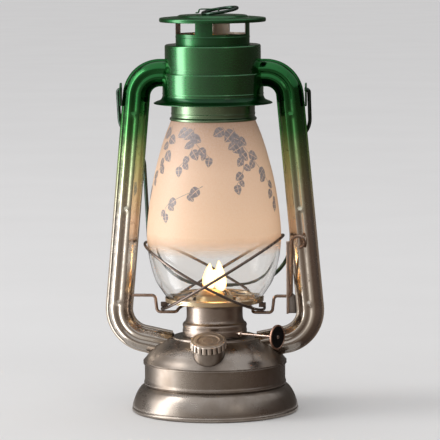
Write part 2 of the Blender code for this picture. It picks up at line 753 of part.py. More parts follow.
def bail_and_ears():
    """Wire bail that hangs behind the lamp from an ear on each tube."""
    for side, name in ((-1, "ear_left"), (1, "ear_right")):
        corner = ear_half_w / 2
        outline = [(-ear_half_w, -ear_drop), (ear_half_w, -ear_drop), (ear_half_w, ear_top_rise - corner),
                   (ear_half_w - corner, ear_top_rise), (corner - ear_half_w, ear_top_rise),
                   (-ear_half_w, ear_top_rise - corner)]
        hole = [(0, 0, bail_wire_r + gap, 12)]
        ear = place(outline_plate(name, outline, ear_t, hole), green)
        ear.location = (side * (ear_x + ear_t / 2), 0, bail_pivot_z)
        ear.rotation_euler = (math.radians(90), 0, math.radians(90))
    tip_x = ear_x - bail_wire_r / 2
    half = [((tip_x, 0, 0), 0), ((bail_leg_x, 0, 0), bail_hook_bend),
            ((bail_leg_x, 0, -bail_out_length), bail_knee_bend),
            ((bail_in_x, 0, -bail_in_length), bail_knee_bend), ((bail_in_x, 0, -bail_length), bail_bend)]
    corners = [((-x, y, z), r) for (x, y, z), r in half] + half[::-1]
    bail = place(wire("bail", rounded(corners, 5), bail_wire_r, 1), dark)
    bail.location = (0, 0, bail_pivot_z)
    bail.rotation_euler.x = bail_lean


def lever():
    """One wire: pivots, a half ring behind the burner that lifts the plate, and the thumb lever."""
    under_r = burner_neck_r + 4 * sheet
    under_z = plate_z + plate_slope * (crank_ring_r - under_r) / (plate_r - under_r)
    top_z = under_z - gap - crank_wire_r - crank_pivot_z
    low_z = crank_low_z - crank_pivot_z
    left_x = leg_x(crank_pivot_z) - tube_half_w + crank_in_tube / 2
    left = [((-left_x, 0, 0), 0), ((-crank_arm_x, 0, 0), crank_bend),
            ((-crank_low_x, 0, low_z), crank_bend), ((-crank_ring_r, 0, low_z), crank_bend)]
    half_ring = []
    for degrees in range(160, 10, -20):
        angle = math.radians(degrees)
        half_ring.append(((crank_ring_r * math.cos(angle), crank_ring_r * math.sin(angle),
                           low_z + (top_z - low_z) * math.sin(angle)), 0))
    right = [((crank_ring_r, 0, low_z), crank_bend), ((crank_low_x, 0, low_z), crank_bend),
             ((crank_arm_x, 0, 0), crank_bend), ((lever_x, 0, 0), crank_bend)]
    top = Vector(lever_top) - Vector((0, 0, crank_pivot_rise))
    up = Vector((0, top.y, top.z)).normalized()
    centre = top + Vector((lever_loop_r, 0, 0))
    crook = []
    for degrees in range(180, -90, -30):
        angle = math.radians(degrees)
        spot = centre + Vector((math.cos(angle), 0, 0)) * lever_loop_r + up * math.sin(angle) * lever_loop_r
        crook.append((spot, 0))
    points = rounded(left + half_ring + right + crook, 3)
    crank = place(wire("lift_crank", points, crank_wire_r, 1), steel)
    crank.location = (0, 0, crank_pivot_z)


def lever_bracket():
    """Sheet bracket on the right tube's inner side; the lever's wire turns in its folded lip."""
    bend_z = tube_foot_z + tube_lower_bend * math.tan((math.pi / 2 - tube_slope + leg_lean) / 2)
    inner_bend = tube_lower_bend - tube_half_w
    rows = []
    for z in (bracket_bottom_z, bend_z, bracket_top_z):
        bend_in = inner_bend - math.sqrt(inner_bend ** 2 - max(bend_z - z, 0) ** 2)
        seam_x = leg_x(z) - tube_half_w / math.cos(leg_lean) - bend_in - gap
        back_y = web_y + sheet / 2
        rows.append([(seam_x, back_y, z), (bracket_x, back_y, z), (bracket_x, -bracket_lip, z)])
    bracket = place(sheet_strip("lever_bracket", rows), tube_metal)
    hole = cylinders("lip_hole", [(0, 0)], crank_wire_r + gap, bracket_x - overrun, bracket_x + overrun / 2)
    cutter(hole, None, (0, 0, crank_pivot_z), (0, math.radians(90), 0))
    cut(bracket, hole)


empty_scene()
parts = collection("hurricane_lamp")
cutters = collection("cutters")
tin = material("tin", (0.42, 0.39, 0.35), 0.34, 1)
tube_metal = material("tube_metal", (0.46, 0.47, 0.42), 0.16, 1)
green = material("green_lacquer", (0.03, 0.21, 0.07), 0.22, 0.7)
dark = material("dark_wire", (0.03, 0.05, 0.035), 0.30, 0.8)
steel = material("steel_wire", (0.25, 0.23, 0.22), 0.28, 1)
brass = material("brass", (0.60, 0.42, 0.18), 0.30, 1)
copper = material("knob_metal", (0.22, 0.15, 0.11), 0.30, 1)
cap_metal = material("cap_metal", (0.45, 0.43, 0.40), 0.38, 1)
rubber = material("gasket_rubber", (0.03, 0.03, 0.03), 0.80, 0)
cloth = material("wick_cloth", (0.75, 0.70, 0.60), 0.95, 0)
glass = material("globe_glass", (0.90, 0.85, 0.78), 0.10, 0, 0.35)

filler_axis = guide("filler_axis", (0, -filler_radius, filler_z), (filler_tilt, 0, 0))
shaft_place = (shaft_offset * math.sin(shaft_turn), -shaft_offset * math.cos(shaft_turn), shaft_z)
shaft_axis = guide("shaft_axis", shaft_place, (0, math.radians(90), shaft_turn))
wick_axis = guide("wick_axis", (0, 0, 0), (0, 0, shaft_turn))
neck_hole = cutter(cylinders("neck_hole", [(0, 0)], neck_r + gap, -neck_r, neck_r, 24), filler_axis)

foot()
tank()
filler()
burner()
wick_drive()
globe_carrier()
side_tubes()
canopy()
chimney_and_hood()
lift_ring()
bail_and_ears()
lever()
lever_bracket()
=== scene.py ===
# %% [markdown]
# # A hurricane lamp, dressed for its portrait
# The lamp's working model is already there: every piece at its real size, with its joints. This
# lesson gives that model its looks. Each piece is either made again with a finer surface, in the
# very place of the plain one, or keeps its shape and gets a finish. All sizes are in metres, +Z
# is up, the lamp's axis is the Z axis, and the front with the filler cap looks towards -Y.

# %% Load the working model
import math

import bmesh
import bpy
from mathutils import Matrix, Quaternion, Vector


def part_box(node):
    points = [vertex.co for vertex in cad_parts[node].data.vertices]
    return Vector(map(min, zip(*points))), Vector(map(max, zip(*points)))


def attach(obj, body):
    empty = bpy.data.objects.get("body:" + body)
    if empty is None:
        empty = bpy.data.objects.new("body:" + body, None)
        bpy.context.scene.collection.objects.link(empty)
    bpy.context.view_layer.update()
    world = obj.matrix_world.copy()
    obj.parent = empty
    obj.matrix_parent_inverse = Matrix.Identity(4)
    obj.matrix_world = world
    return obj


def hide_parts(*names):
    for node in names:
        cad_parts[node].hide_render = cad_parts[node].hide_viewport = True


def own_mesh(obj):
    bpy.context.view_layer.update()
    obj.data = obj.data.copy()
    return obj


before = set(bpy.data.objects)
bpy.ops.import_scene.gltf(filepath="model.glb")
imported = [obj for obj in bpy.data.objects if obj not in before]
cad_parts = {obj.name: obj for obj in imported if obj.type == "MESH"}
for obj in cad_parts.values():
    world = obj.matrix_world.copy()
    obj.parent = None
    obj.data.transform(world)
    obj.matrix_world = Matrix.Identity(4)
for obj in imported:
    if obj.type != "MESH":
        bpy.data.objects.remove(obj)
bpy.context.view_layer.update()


def mm(length):
    return round(length * 1000, 1)


# %% [markdown]
# ## Where the photographer stood
# The ellipses of the foot and of the hood give the view away: they are flat, so the camera stood
# low and far off, a little to the right. A long lens keeps the two side tubes almost parallel.
# The camera's rotation could be typed as three angles. Pointing it at a spot on the lamp is
# easier to read and to change, and a small roll lets the lamp lean as it does in the picture.

# %% Camera
camera_distance = 2.33
camera_height = 0.40
camera_turn = math.radians(6)
camera_aim_height = 0.149
camera_aim_right = 0.0047
camera_roll = math.radians(-0.41)

towards_camera = Vector((math.sin(camera_turn), -math.cos(camera_turn), 0))
to_the_right = Vector((math.cos(camera_turn), math.sin(camera_turn), 0))
camera_place = towards_camera * camera_distance + Vector((0, 0, camera_height))
camera_aim = to_the_right * camera_aim_right + Vector((0, 0, camera_aim_height))

camera = bpy.data.objects.new("camera", bpy.data.cameras.new("camera"))
camera.data.sensor_width = 36
camera.data.lens = 246
camera.data.clip_end = 60
camera.location = camera_place
camera.rotation_mode = "QUATERNION"
look = (camera_aim - camera_place).to_track_quat("-Z", "Y")
camera.rotation_quaternion = look @ Quaternion((0, 0, 1), camera_roll)
bpy.context.scene.collection.objects.link(camera)
bpy.context.scene.camera = camera
bpy.context.scene.view_settings.view_transform = "Standard"
print("camera", round((camera_aim - camera_place).length, 3), "m from its aim")

# %% [markdown]
# ## Tools for finishes
# A finish is a small net of shader nodes. It could be put together by hand in the shader editor.
# Helpers keep each net short to write and the same in every run: one makes the material, one adds
# a node and sets its sockets, and one links two sockets.

# %% Shader helpers
def start_finish(name, colour, roughness, metallic=0.0, **more):
    made = bpy.data.materials.new(name)
    made.use_nodes = True
    shader = made.node_tree.nodes["Principled BSDF"]
    shader.inputs["Base Color"].default_value = (*colour, 1)
    shader.inputs["Roughness"].default_value = roughness
    shader.inputs["Metallic"].default_value = metallic
    for socket, value in more.items():
        shader.inputs[socket.replace("_", " ")].default_value = value
    return made, shader


def add(made, kind, inputs=(), **settings):
    """Add one node. Inputs are (socket, value) pairs, and a value may be another node's output."""
    step = made.node_tree.nodes.new("ShaderNode" + kind)
    for name, value in settings.items():
        setattr(step, name, value)
    for socket, value in inputs:
        if isinstance(value, bpy.types.NodeSocket):
            made.node_tree.links.new(value, step.inputs[socket])
        else:
            step.inputs[socket].default_value = value
    return step


def join(made, output, target):
    made.node_tree.links.new(output, target)


print("helpers for nodes and links ready")

# %% [markdown]
# ## Where a mark sits
# Marks left by spinning run round the lamp, like the grooves of a record. An unwrapped mesh could
# carry them as a drawing. The place on the piece needs no unwrapping: its distance from the axis
# and its height tell one mark from the next, and its direction from the axis runs along a mark.

# %% Places and marks
def place_on_piece(made):
    return add(made, "TexCoord").outputs["Object"]


def height_at(made, place):
    return add(made, "SeparateXYZ", [(0, place)]).outputs["Z"]


def turning_marks(made, across, along):
    """Coordinates for marks that run round the Z axis: fine across them, long along them."""
    place = place_on_piece(made)
    flat = add(made, "VectorMath", [(0, place), (1, (1, 1, 0))], operation="MULTIPLY")
    radius = add(made, "VectorMath", [(0, flat.outputs[0])], operation="LENGTH")
    way = add(made, "VectorMath", [(0, flat.outputs[0])], operation="NORMALIZE")
    height = height_at(made, place)
    profile = add(made, "Math", [(0, height), (1, 1.3), (2, radius.outputs["Value"])],
                  operation="MULTIPLY_ADD")
    fine = add(made, "Math", [(0, profile.outputs[0]), (1, across)], operation="MULTIPLY")
    round_way = add(made, "VectorMath", [(0, way.outputs[0]), ("Scale", along)], operation="SCALE")
    up = add(made, "CombineXYZ", [("Z", fine.outputs[0])])
    return add(made, "VectorMath", [(0, round_way.outputs[0]), (1, up.outputs[0])],
               operation="ADD").outputs[0]


print("helper for turning marks ready")

# %% [markdown]
# ## Patterns and relief
# No finish is even. Noise gives clouds and spots, a ramp turns a number into a colour, and a
# stretched range says where a pattern starts and ends. Real dents would need a far finer mesh; a
# grey pattern read as relief gives the same look, as long as it stays fine.

# %% Patterns and relief
def noise(made, coordinates, scale, detail=3.0, roughness=0.5):
    step = add(made, "TexNoise", [("Vector", coordinates), ("Scale", scale), ("Detail", detail),
                                  ("Roughness", roughness)])
    return step.outputs["Fac"]


def ramp(made, factor, stops):
    """Colours or greys at places from 0 to 1."""
    step = add(made, "ValToRGB", [("Fac", factor)])
    bar = step.color_ramp
    while len(bar.elements) < len(stops):
        bar.elements.new(0.5)
    for mark, (place, colour) in zip(bar.elements, stops):
        mark.position = place
        mark.color = (*colour, 1) if isinstance(colour, tuple) else (colour, colour, colour, 1)
    return step.outputs["Color"]


def stretch(made, value, low, high, to_low, to_high):
    """Map a range of values on another one, held at both ends."""
    step = add(made, "MapRange", [("Value", value), ("From Min", low), ("From Max", high),
                                  ("To Min", to_low), ("To Max", to_high)])
    return step.outputs["Result"]


def mixed(made, factor, first, second, blend="MIX"):
    step = add(made, "Mix", data_type="RGBA", blend_type=blend)
    for socket, value in ((0, factor), (6, first), (7, second)):
        if isinstance(value, bpy.types.NodeSocket):
            join(made, value, step.inputs[socket])
        else:
            step.inputs[socket].default_value = value if socket == 0 else (*value, 1)
    return step.outputs[2]


def relief(made, height, strength, depth, below=None):
    """Turn a grey pattern into fine relief; below is a relief that lies under it."""
    inputs = [("Height", height), ("Strength", strength), ("Distance", depth)]
    if below is not None:
        inputs.append(("Normal", below))
    return add(made, "Bump", inputs).outputs["Normal"]


print("patterns: noise, ramp, stretch, mixed and relief")

# %% [markdown]
# ## Spun tinplate
# The foot, tank and burner are spun from tinned sheet. New tin is bright; after a few seasons it
# is satin, with fine marks left by spinning, cloudy patches and faint brown where hands and oil
# have been. Cloudy noise changes both the colour and the gloss, and the marks are a slight
# relief.

# %% Worked metals
def worked_metal(name, colour, stain, roughness, marks=2600.0, mark_depth=0.00002, cloud=38.0,
                 gloss_spread=0.10, lacquer=0.0, edge=(1.0, 1.0, 1.0)):
    made, shader = start_finish(name, colour, roughness, 1.0, Coat_Weight=lacquer,
                                Coat_Roughness=0.10, Coat_IOR=1.75, Specular_Tint=(*edge, 1))
    place = place_on_piece(made)
    clouds = noise(made, place, cloud, 5.0, 0.55)
    spots = noise(made, place, cloud * 9, 4.0, 0.6)
    lines = noise(made, turning_marks(made, marks, 5.0), 1.0, 2.0)
    stained = mixed(made, stretch(made, clouds, 0.42, 0.72, 0.0, 0.75), colour, stain)
    speckled = mixed(made, stretch(made, spots, 0.60, 0.75, 0.0, 0.35), stained, stain)
    join(made, speckled, shader.inputs["Base Color"])
    gloss = stretch(made, clouds, 0.3, 0.7, roughness - gloss_spread, roughness + gloss_spread)
    ground = add(made, "Math", [(0, lines), (1, 0.12), (2, gloss)], operation="MULTIPLY_ADD")
    join(made, ground.outputs[0], shader.inputs["Roughness"])
    dents = relief(made, noise(made, place, 55.0, 1.0), 0.35, 0.0006)
    join(made, relief(made, lines, 0.5, mark_depth, dents), shader.inputs["Normal"])
    return made


tin = worked_metal("spun_tin", (0.35, 0.305, 0.265), (0.20, 0.155, 0.12), 0.24)
cap_tin = worked_metal("cap_tin", (0.74, 0.65, 0.56), (0.40, 0.31, 0.24), 0.30, marks=5200.0)
brass = worked_metal("burner_brass", (0.62, 0.46, 0.24), (0.30, 0.19, 0.09), 0.30)
drawn_wire = worked_metal("drawn_wire", (0.22, 0.175, 0.15), (0.09, 0.065, 0.055), 0.22, cloud=120.0)
knob_dark = worked_metal("knob_dark", (0.035, 0.033, 0.034), (0.02, 0.018, 0.018), 0.36, marks=4000.0)
knob_copper = worked_metal("knob_copper", (0.52, 0.33, 0.25), (0.30, 0.15, 0.10), 0.24)
print("metals:", tin.name, cap_tin.name, brass.name, drawn_wire.name)

# %% [markdown]
# ## Turned pieces
# Most of the lamp is spun or drawn on a lathe, so most pieces are outlines turned round the axis.
# A Screw modifier would do it. Turning the outline in mesh code gives the same shape, and keeps
# one way for every piece: the outline is a closed row of (radius, height) points, and its corners
# are rounded first, because the eye finds a lamp made of tin by the light on its rounded edges.

# %% Outlines and turned pieces
turn_slices = 160
weld_distance = 0.000001
collection = bpy.data.collections.new("hurricane_lamp_looks")
bpy.context.scene.collection.children.link(collection)


def softened(rows, steps=5):
    """Points along an outline whose corners are rounded: rows of (r, z) or (r, z, corner size)."""
    line = []
    for index, row in enumerate(rows):
        here = Vector(row[:2])
        size = row[2] if len(row) > 2 else 0
        if not size or index in (0, len(rows) - 1):
            line.append(here)
            continue
        before = Vector(rows[index - 1][:2]) - here
        after = Vector(rows[index + 1][:2]) - here
        first = here + before.normalized() * min(size, before.length * 0.49)
        last = here + after.normalized() * min(size, after.length * 0.49)
        for step in range(steps + 1):
            share = step / steps
            line.append(first.lerp(here, share).lerp(here.lerp(last, share), share))
    return line


def curved(rows, steps=4):
    """Points along a smooth curve through the given (r, z) points."""
    spots = [Vector(row) for row in rows]
    spots = [2 * spots[0] - spots[1]] + spots + [2 * spots[-1] - spots[-2]]
    line = []
    for a, b, c, d in zip(spots, spots[1:], spots[2:], spots[3:]):
        for step in range(steps):
            t = step / steps
            line.append(0.5 * (2 * b + (c - a) * t + (2 * a - 5 * b + 4 * c - d) * t * t
                               + (3 * b - a - 3 * c + d) * t ** 3))
    line.append(spots[-2])
    return line


def sheet_metal(outer, thickness=0.0008):
    """Close an outline that runs down a piece's outer side into a sheet of even thickness."""
    inner = []
    for index, spot in enumerate(outer):
        before = outer[max(index - 1, 0)]
        after = outer[min(index + 1, len(outer) - 1)]
        along = (after - before).normalized()
        place = spot + Vector((along.y, -along.x)) * thickness
        inner.append(Vector((max(place.x, 0), place.y)))
    return list(outer) + inner[::-1]


print("outlines: softened corners, curved runs, even sheet")

# %% [markdown]
# ## From outline to piece
# Each new piece needs more than a mesh: its finish and the body that carries it when the lamp
# moves, and the plain pieces that it takes the place of must be hidden. One helper does all of
# that, so no piece can be forgotten. The others join the points of an outline, turned step by
# step, into faces.

# %% Pieces from outlines
def finish_piece(item, look, body, nodes=()):
    """Give a new piece its finish and its body, and hide the plain nodes that it stands for."""
    collection.objects.link(item)
    item.data.materials.append(look)
    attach(item, body)
    if nodes:
        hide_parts(*nodes)


def second_look(item, look, chosen):
    """Give another finish to the faces that the chosen test picks."""
    item.data.materials.append(look)
    for face in item.data.polygons:
        if chosen(face):
            face.material_index = 1


def smooth_mesh(name, points, faces, sharp=38):
    form = bmesh.new()
    for point in points:
        form.verts.new(point)
    form.verts.ensure_lookup_table()
    for face in faces:
        form.faces.new([form.verts[corner] for corner in face])
    bmesh.ops.remove_doubles(form, verts=form.verts, dist=weld_distance)
    bmesh.ops.recalc_face_normals(form, faces=form.faces)
    data = bpy.data.meshes.new(name)
    form.to_mesh(data)
    form.free()
    data.shade_smooth()
    data.set_sharp_from_angle(angle=math.radians(sharp))
    return bpy.data.objects.new(name, data)


def faces_round(steps, count):
    """Faces between the copies of a closed outline, when steps copies of it stand in a ring."""
    faces = []
    for step in range(steps):
        here, there = step * count, (step + 1) % steps * count
        for row in range(count):
            after = (row + 1) % count
            faces.append((here + row, there + row, there + after, here + after))
    return faces


def turned(name, outline, slices=turn_slices, sharp=38):
    """Turn a closed outline of (radius, height) points round the Z axis."""
    points = []
    for step in range(slices):
        angle = 2 * math.pi * step / slices
        points += [(spot[0] * math.cos(angle), spot[0] * math.sin(angle), spot[1]) for spot in outline]
    return smooth_mesh(name, points, faces_round(slices, len(outline)), sharp)


print("collection for the new pieces:", collection.name)

# %% [markdown]
# ## Foot and tank wall
# The foot is a bell-shaped skirt with a rolled edge, and the tank stands in it. Where the two
# meet, the wall has a small rolled bead, and a band of solder shows as a dark line. The sizes
# come from the working model's boxes, so the fine pieces can't drift away from the plain ones.

# %% Foot and tank wall
foot_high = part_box("foot_skirt")[1]
foot_r, foot_h = foot_high.x, foot_high.z
wall_low, wall_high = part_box("tank_wall")
bead_r = wall_high.x
tank_r = bead_r - 0.0007
wall_z, wall_top = wall_low.z, wall_high.z

spread = foot_r - tank_r
bell = [(0, 1), (0.13, 0.965), (0.31, 0.895), (0.46, 0.80), (0.60, 0.69), (0.72, 0.56), (0.82, 0.43),
        (0.90, 0.31), (0.945, 0.225)]
skirt = curved([(tank_r + spread * a, foot_h * b) for a, b in bell])
skirt += softened([(foot_r - 0.0005, foot_h * 0.19), (foot_r - 0.0009, foot_h * 0.165, 0.0004),
                   (foot_r - 0.0001, foot_h * 0.125, 0.0007), (foot_r, foot_h * 0.04, 0.0008),
                   (foot_r - 0.0008, 0, 0.0005), (foot_r - 0.003, 0)])
finish_piece(turned("foot", sheet_metal(skirt)), tin, "lamp", ["foot_skirt"])

wall = softened([(tank_r, wall_top), (tank_r, wall_z + 0.0036, 0.0008), (bead_r, wall_z + 0.0020, 0.0012),
                 (bead_r, wall_z + 0.0012, 0.0008), (tank_r, wall_z)])
finish_piece(turned("tank_sides", sheet_metal(wall)), tin, "lamp", ["tank_wall"])
print("foot", mm(foot_r), "mm, tank", mm(tank_r), "mm in radius")

# %% [markdown]
# ## The tank's domed top
# The dome is drawn from one sheet. Its edge is folded over the wall, which leaves a thin seam
# that catches the light, and a raised ring round the burner. The filler's neck comes up through
# it at the front. A sculpted surface could show the same, but an outline that is turned keeps
# every edge evenly round.

# %% Domed top
dome_low, dome_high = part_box("tank_dome")
seam_r, seam_z = dome_high.x, dome_low.z
dome_top = dome_high.z
ring_r = 0.0328
collar_hole_r = 0.0232
crown = [(0, 1), (0.10, 0.935), (0.22, 0.84), (0.35, 0.75), (0.48, 0.65), (0.61, 0.52), (0.73, 0.37),
         (0.84, 0.225), (0.92, 0.10), (0.965, 0.035)]
dome_rise = dome_top - wall_top
top_ring = softened([(collar_hole_r, dome_top), (ring_r, dome_top, 0.0009),
                     (ring_r + 0.0001, dome_top - 0.0014, 0.0007), (ring_r + 0.0014, dome_top - 0.0026)])
crown_line = curved([(ring_r + (seam_r - ring_r) * a, wall_top + dome_rise * b) for a, b in crown[1:]])
seam = softened([(seam_r, wall_top + 0.0003, 0.0008), (seam_r, wall_top - 0.0006, 0.0004),
                 (seam_r - 0.0006, wall_top - 0.0011, 0.0003), (seam_r, wall_top - 0.0015, 0.0004),
                 (seam_r, seam_z)])
dome = turned("tank_top", sheet_metal(top_ring + crown_line + seam[1:]))
finish_piece(dome, tin, "lamp", ["tank_dome"])
print("dome from", mm(seam_z), "to", mm(dome_top), "mm")

# %% [markdown]
# ## Cutting holes
# Holes could be planned in a mesh from the start, which is slow work on a domed sheet. A Boolean
# takes a tool solid out of a piece instead. The result is kept as the piece's own mesh, so it
# isn't worked out again for every picture.

# %% Helpers that cut
def cut_with(item, tool):
    """Cut a solid out of a piece with a Boolean, and keep the result as the piece's own mesh."""
    step = item.modifiers.new("Cut", "BOOLEAN")
    step.operation = "DIFFERENCE"
    step.solver = "EXACT"
    step.object = tool
    bpy.context.view_layer.update()
    graph = bpy.context.evaluated_depsgraph_get()
    made = bpy.data.meshes.new_from_object(item.evaluated_get(graph))
    item.modifiers.clear()
    item.data = made


def cut_form(item, form):
    """Cut a bmesh form out of a piece."""
    tool_mesh = bpy.data.meshes.new("cutting_tool")
    form.to_mesh(tool_mesh)
    form.free()
    tool = bpy.data.objects.new("cutting_tool", tool_mesh)
    bpy.context.scene.collection.objects.link(tool)
    cut_with(item, tool)
    bpy.data.objects.remove(tool, do_unlink=True)


def add_round(form, radius, depth, matrix, sides=64):
    """Add an upright round bar to a bmesh form, then place it by the matrix."""
    bmesh.ops.create_cone(form, cap_ends=True, segments=sides, radius1=radius, radius2=radius,
                          depth=depth, matrix=matrix)


print("round bars and other forms can be cut out now")

# %% Hole for the filler
filler_tilt = math.radians(20)
filler_hole_r = 0.0121
filler_place = Vector((0, -0.0440, 0.0500))
filler_axis = Matrix.Translation(filler_place) @ Matrix.Rotation(filler_tilt, 4, "X")
hole = bmesh.new()
add_round(hole, filler_hole_r, 0.024, filler_axis)
cut_form(dome, hole)
print("dome with its hole:", len(dome.data.polygons), "faces")

# %% [markdown]
# ## Filler cap and neck
# A pressed cap screws on a short neck, and both lean forward with the dome. Its skirt has rounded
# ribs for wet fingers. They are not separate pieces: every point of the skirt's outline moves
# towards the axis by a small amount that depends on its angle, as the press tool would push it.
# The real cap's face carries small raised marks; here it has plain turned rings instead.

# %% Filler cap
rib_count = 20
rib_depth = 0.0013
cap_face = softened([(0, 0.01192), (0.0036, 0.01192, 0.0004), (0.0040, 0.01206, 0.0003),
                     (0.0044, 0.01192, 0.0004), (0.0076, 0.01192, 0.0006), (0.0086, 0.0124, 0.0006),
                     (0.0112, 0.0124, 0.0002), (0.0115, 0.0122, 0.0002), (0.0118, 0.0124, 0.0002),
                     (0.0138, 0.0124, 0.0011), (0.0140, 0.0066, 0.0003), (0.0136, 0.0064)])
cap_outline = sheet_metal(cap_face)


def ribbed_cap(name, outline, outer_count):
    """Turn the cap's outline and press ribs in its skirt."""
    steps = rib_count * 14
    points = []
    for step in range(steps):
        angle = 2 * math.pi * step / steps
        press = rib_depth * (1 - abs(math.sin(rib_count * angle / 2))) ** 1.4
        for index, (r, z) in enumerate(outline):
            on_skirt = index < outer_count and r > 0.0129
            share = min(max((0.0124 - z) / 0.0012, 0), 1) if on_skirt else 0
            points.append(((r - press * share) * math.cos(angle), (r - press * share) * math.sin(angle), z))
    return smooth_mesh(name, points, faces_round(steps, len(outline)), 50)


cap = ribbed_cap("filler_cap_ribbed", cap_outline, len(cap_face))
cap.matrix_world = filler_axis
finish_piece(cap, cap_tin, "filler_lid", ["filler_cap"])
# Painted shade: the faces in the grooves between the ribs get a dark finish, so that the grooves look
# shaded.
groove_shade = worked_metal("cap_groove_shade", (0.09, 0.07, 0.055), (0.04, 0.03, 0.025), 0.45)


def in_groove(face):
    middle = face.center
    near_middle = abs(math.sin(rib_count * math.atan2(middle.y, middle.x) / 2)) < 0.34
    return near_middle and middle.z < 0.0113 and math.hypot(middle.x, middle.y) > 0.0124


second_look(cap, groove_shade, in_groove)
print("cap", len(cap.data.polygons), "faces,", rib_count, "ribs")

# %% Filler neck
neck_line = softened([(0.0114, 0.0104), (0.0118, 0.0100, 0.0003), (0.0118, 0.0058, 0.0003),
                      (0.0122, 0.0053, 0.0004), (0.0118, 0.0048, 0.0003), (0.0118, -0.0060)])
neck = turned("filler_neck_turned", sheet_metal(neck_line), 96)
neck.matrix_world = filler_axis
finish_piece(neck, tin, "lamp", ["filler_neck"])
print("neck", len(neck.data.polygons), "faces")

# %% [markdown]
# ## Burner
# The burner is brass inside and tinned outside: a collar in the dome's ring, a waisted body with
# two rounded steps, a perforated disc that lets air up, and a slotted cone that pulls the flame
# to a flat sheet. The body could be stacked from simple rings; one outline keeps its steps soft
# where they run into each other.

# %% Burner body and collar
body_low, body_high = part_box("burner_body")
collar_low, collar_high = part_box("burner_collar")
burner_z, burner_top = body_low.z, body_high.z
waist = [(0.0234, burner_top), (0.0230, burner_top - 0.0007), (0.0223, burner_top - 0.0020),
         (0.0220, burner_top - 0.0036), (0.02195, burner_top - 0.0070), (0.0220, burner_top - 0.0102),
         (0.0223, burner_top - 0.0121), (0.0230, burner_top - 0.0138), (0.0238, burner_top - 0.0147)]
steps_line = softened([(0.0238, burner_top - 0.0147), (0.0245, burner_top - 0.0151, 0.0004),
                       (0.0253, burner_top - 0.0166, 0.0011), (0.0247, burner_top - 0.0189, 0.0009),
                       (0.0253, burner_top - 0.0208, 0.0009), (0.0249, burner_z + 0.0006, 0.0010),
                       (0.0249, burner_z)])
burner_body = turned("burner_shell", sheet_metal(curved(waist) + steps_line[1:]))
burner_tin = worked_metal("burner_tin", (0.44, 0.37, 0.32), (0.25, 0.19, 0.15), 0.26)
finish_piece(burner_body, burner_tin, "lamp", ["burner_body"])

collar_line = softened([(0.0222, collar_high.z), (0.0240, collar_high.z, 0.0003),
                        (0.0245, collar_high.z - 0.0004, 0.0004), (0.0243, collar_high.z - 0.0008, 0.0002),
                        (0.0229, collar_high.z - 0.0009, 0.0003), (0.0229, collar_low.z)])
burner_collar = turned("burner_ring", sheet_metal(collar_line))
finish_piece(burner_collar, burner_tin, "lamp", ["burner_collar"])
print("burner stands on the dome at", mm(burner_z), "mm")

# %% [markdown]
# ## Gallery
# A perforated disc inside the burner lets air up to the flame. Cutting ninety holes out of a mesh
# takes long. A flat curve with many small circles in it fills itself between them, and gives real
# holes at once.

# %% Gallery inside the burner
gallery_low, gallery_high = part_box("burner_gallery")
gallery_r = gallery_high.x


def circle(radius, count, x=0, y=0):
    return [(x + radius * math.cos(2 * math.pi * i / count), y + radius * math.sin(2 * math.pi * i / count))
            for i in range(count)]


def poly_line(data, path, closed=True):
    """Add straight runs through 3-D points to a curve."""
    line = data.splines.new("POLY")
    line.points.add(len(path) - 1)
    for spot, point in zip(line.points, path):
        spot.co = (*point, 1)
    line.use_cyclic_u = closed
    return line


def filled_outline(name, loops, thickness):
    """A flat curve that fills itself between its loops, with a thickness."""
    data = bpy.data.curves.new(name, "CURVE")
    data.dimensions = "2D"
    data.fill_mode = "BOTH"
    data.extrude = thickness / 2
    for loop in loops:
        poly_line(data, [(x, y, 0) for x, y in loop])
    return bpy.data.objects.new(name, data)


wick_turn = math.radians(-30)
slot_corners = [(-0.0118, -0.0026), (0.0118, -0.0026), (0.0118, 0.0026), (-0.0118, 0.0026)]
air_hole_r = 0.00055
loops = [circle(gallery_r, 120), slot_corners]
for row_r, count in ((0.0196, 48), (0.0178, 44)):
    for hole in range(count):
        angle = 2 * math.pi * (hole + 0.5) / count
        loops.append(circle(air_hole_r, 12, row_r * math.cos(angle), row_r * math.sin(angle)))
gallery = filled_outline("burner_gallery_pierced", loops, 0.0008)
gallery.location = (0, 0, (gallery_low.z + gallery_high.z) / 2)
gallery.rotation_euler.z = wick_turn
finish_piece(gallery, brass, "lamp", ["burner_gallery"])
print("gallery with", len(loops) - 2, "air holes")

# %% [markdown]
# ## Flame cone and wick
# The cone is a small brass dome with a slot over the wick. It is turned, then the slot is cut.
# The wick is a woven cotton strip: its top is charred, and its weave is a fine pattern in its
# relief. The strip's top edge isn't a straight line, because lamps burn their wicks to a crown.

# %% Flame cone
cone_low, cone_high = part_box("burner_cone")
cone_r, cone_h = cone_high.x, cone_high.z - cone_low.z
cone_rows = [(0, 1), (0.24, 0.995), (0.45, 0.965), (0.63, 0.90), (0.78, 0.79), (0.88, 0.65), (0.94, 0.49),
             (0.975, 0.30), (0.99, 0.12)]
cone_line = curved([(cone_r * a, cone_low.z + cone_h * b) for a, b in cone_rows])
cone_line += softened([(cone_r * 0.985, cone_low.z + cone_h * 0.08, 0.0002),
                       (cone_r, cone_low.z + 0.0007, 0.0003),
                       (cone_r, cone_low.z)])
cone = turned("flame_cone", sheet_metal(cone_line, 0.0006), 112)
finish_piece(cone, brass, "lamp", ["burner_cone"])


def cut_slot(item, size, matrix):
    """Cut a box-shaped slot."""
    form = bmesh.new()
    bmesh.ops.create_cube(form, size=1)
    bmesh.ops.scale(form, vec=size, verts=form.verts)
    bmesh.ops.transform(form, matrix=matrix, verts=form.verts)
    cut_form(item, form)


cone_slot = Matrix.Translation((0, 0, cone_high.z)) @ Matrix.Rotation(wick_turn, 4, "Z")
cut_slot(cone, (0.0255, 0.0062, cone_h), cone_slot)
print("cone", mm(2 * cone_r), "mm wide")

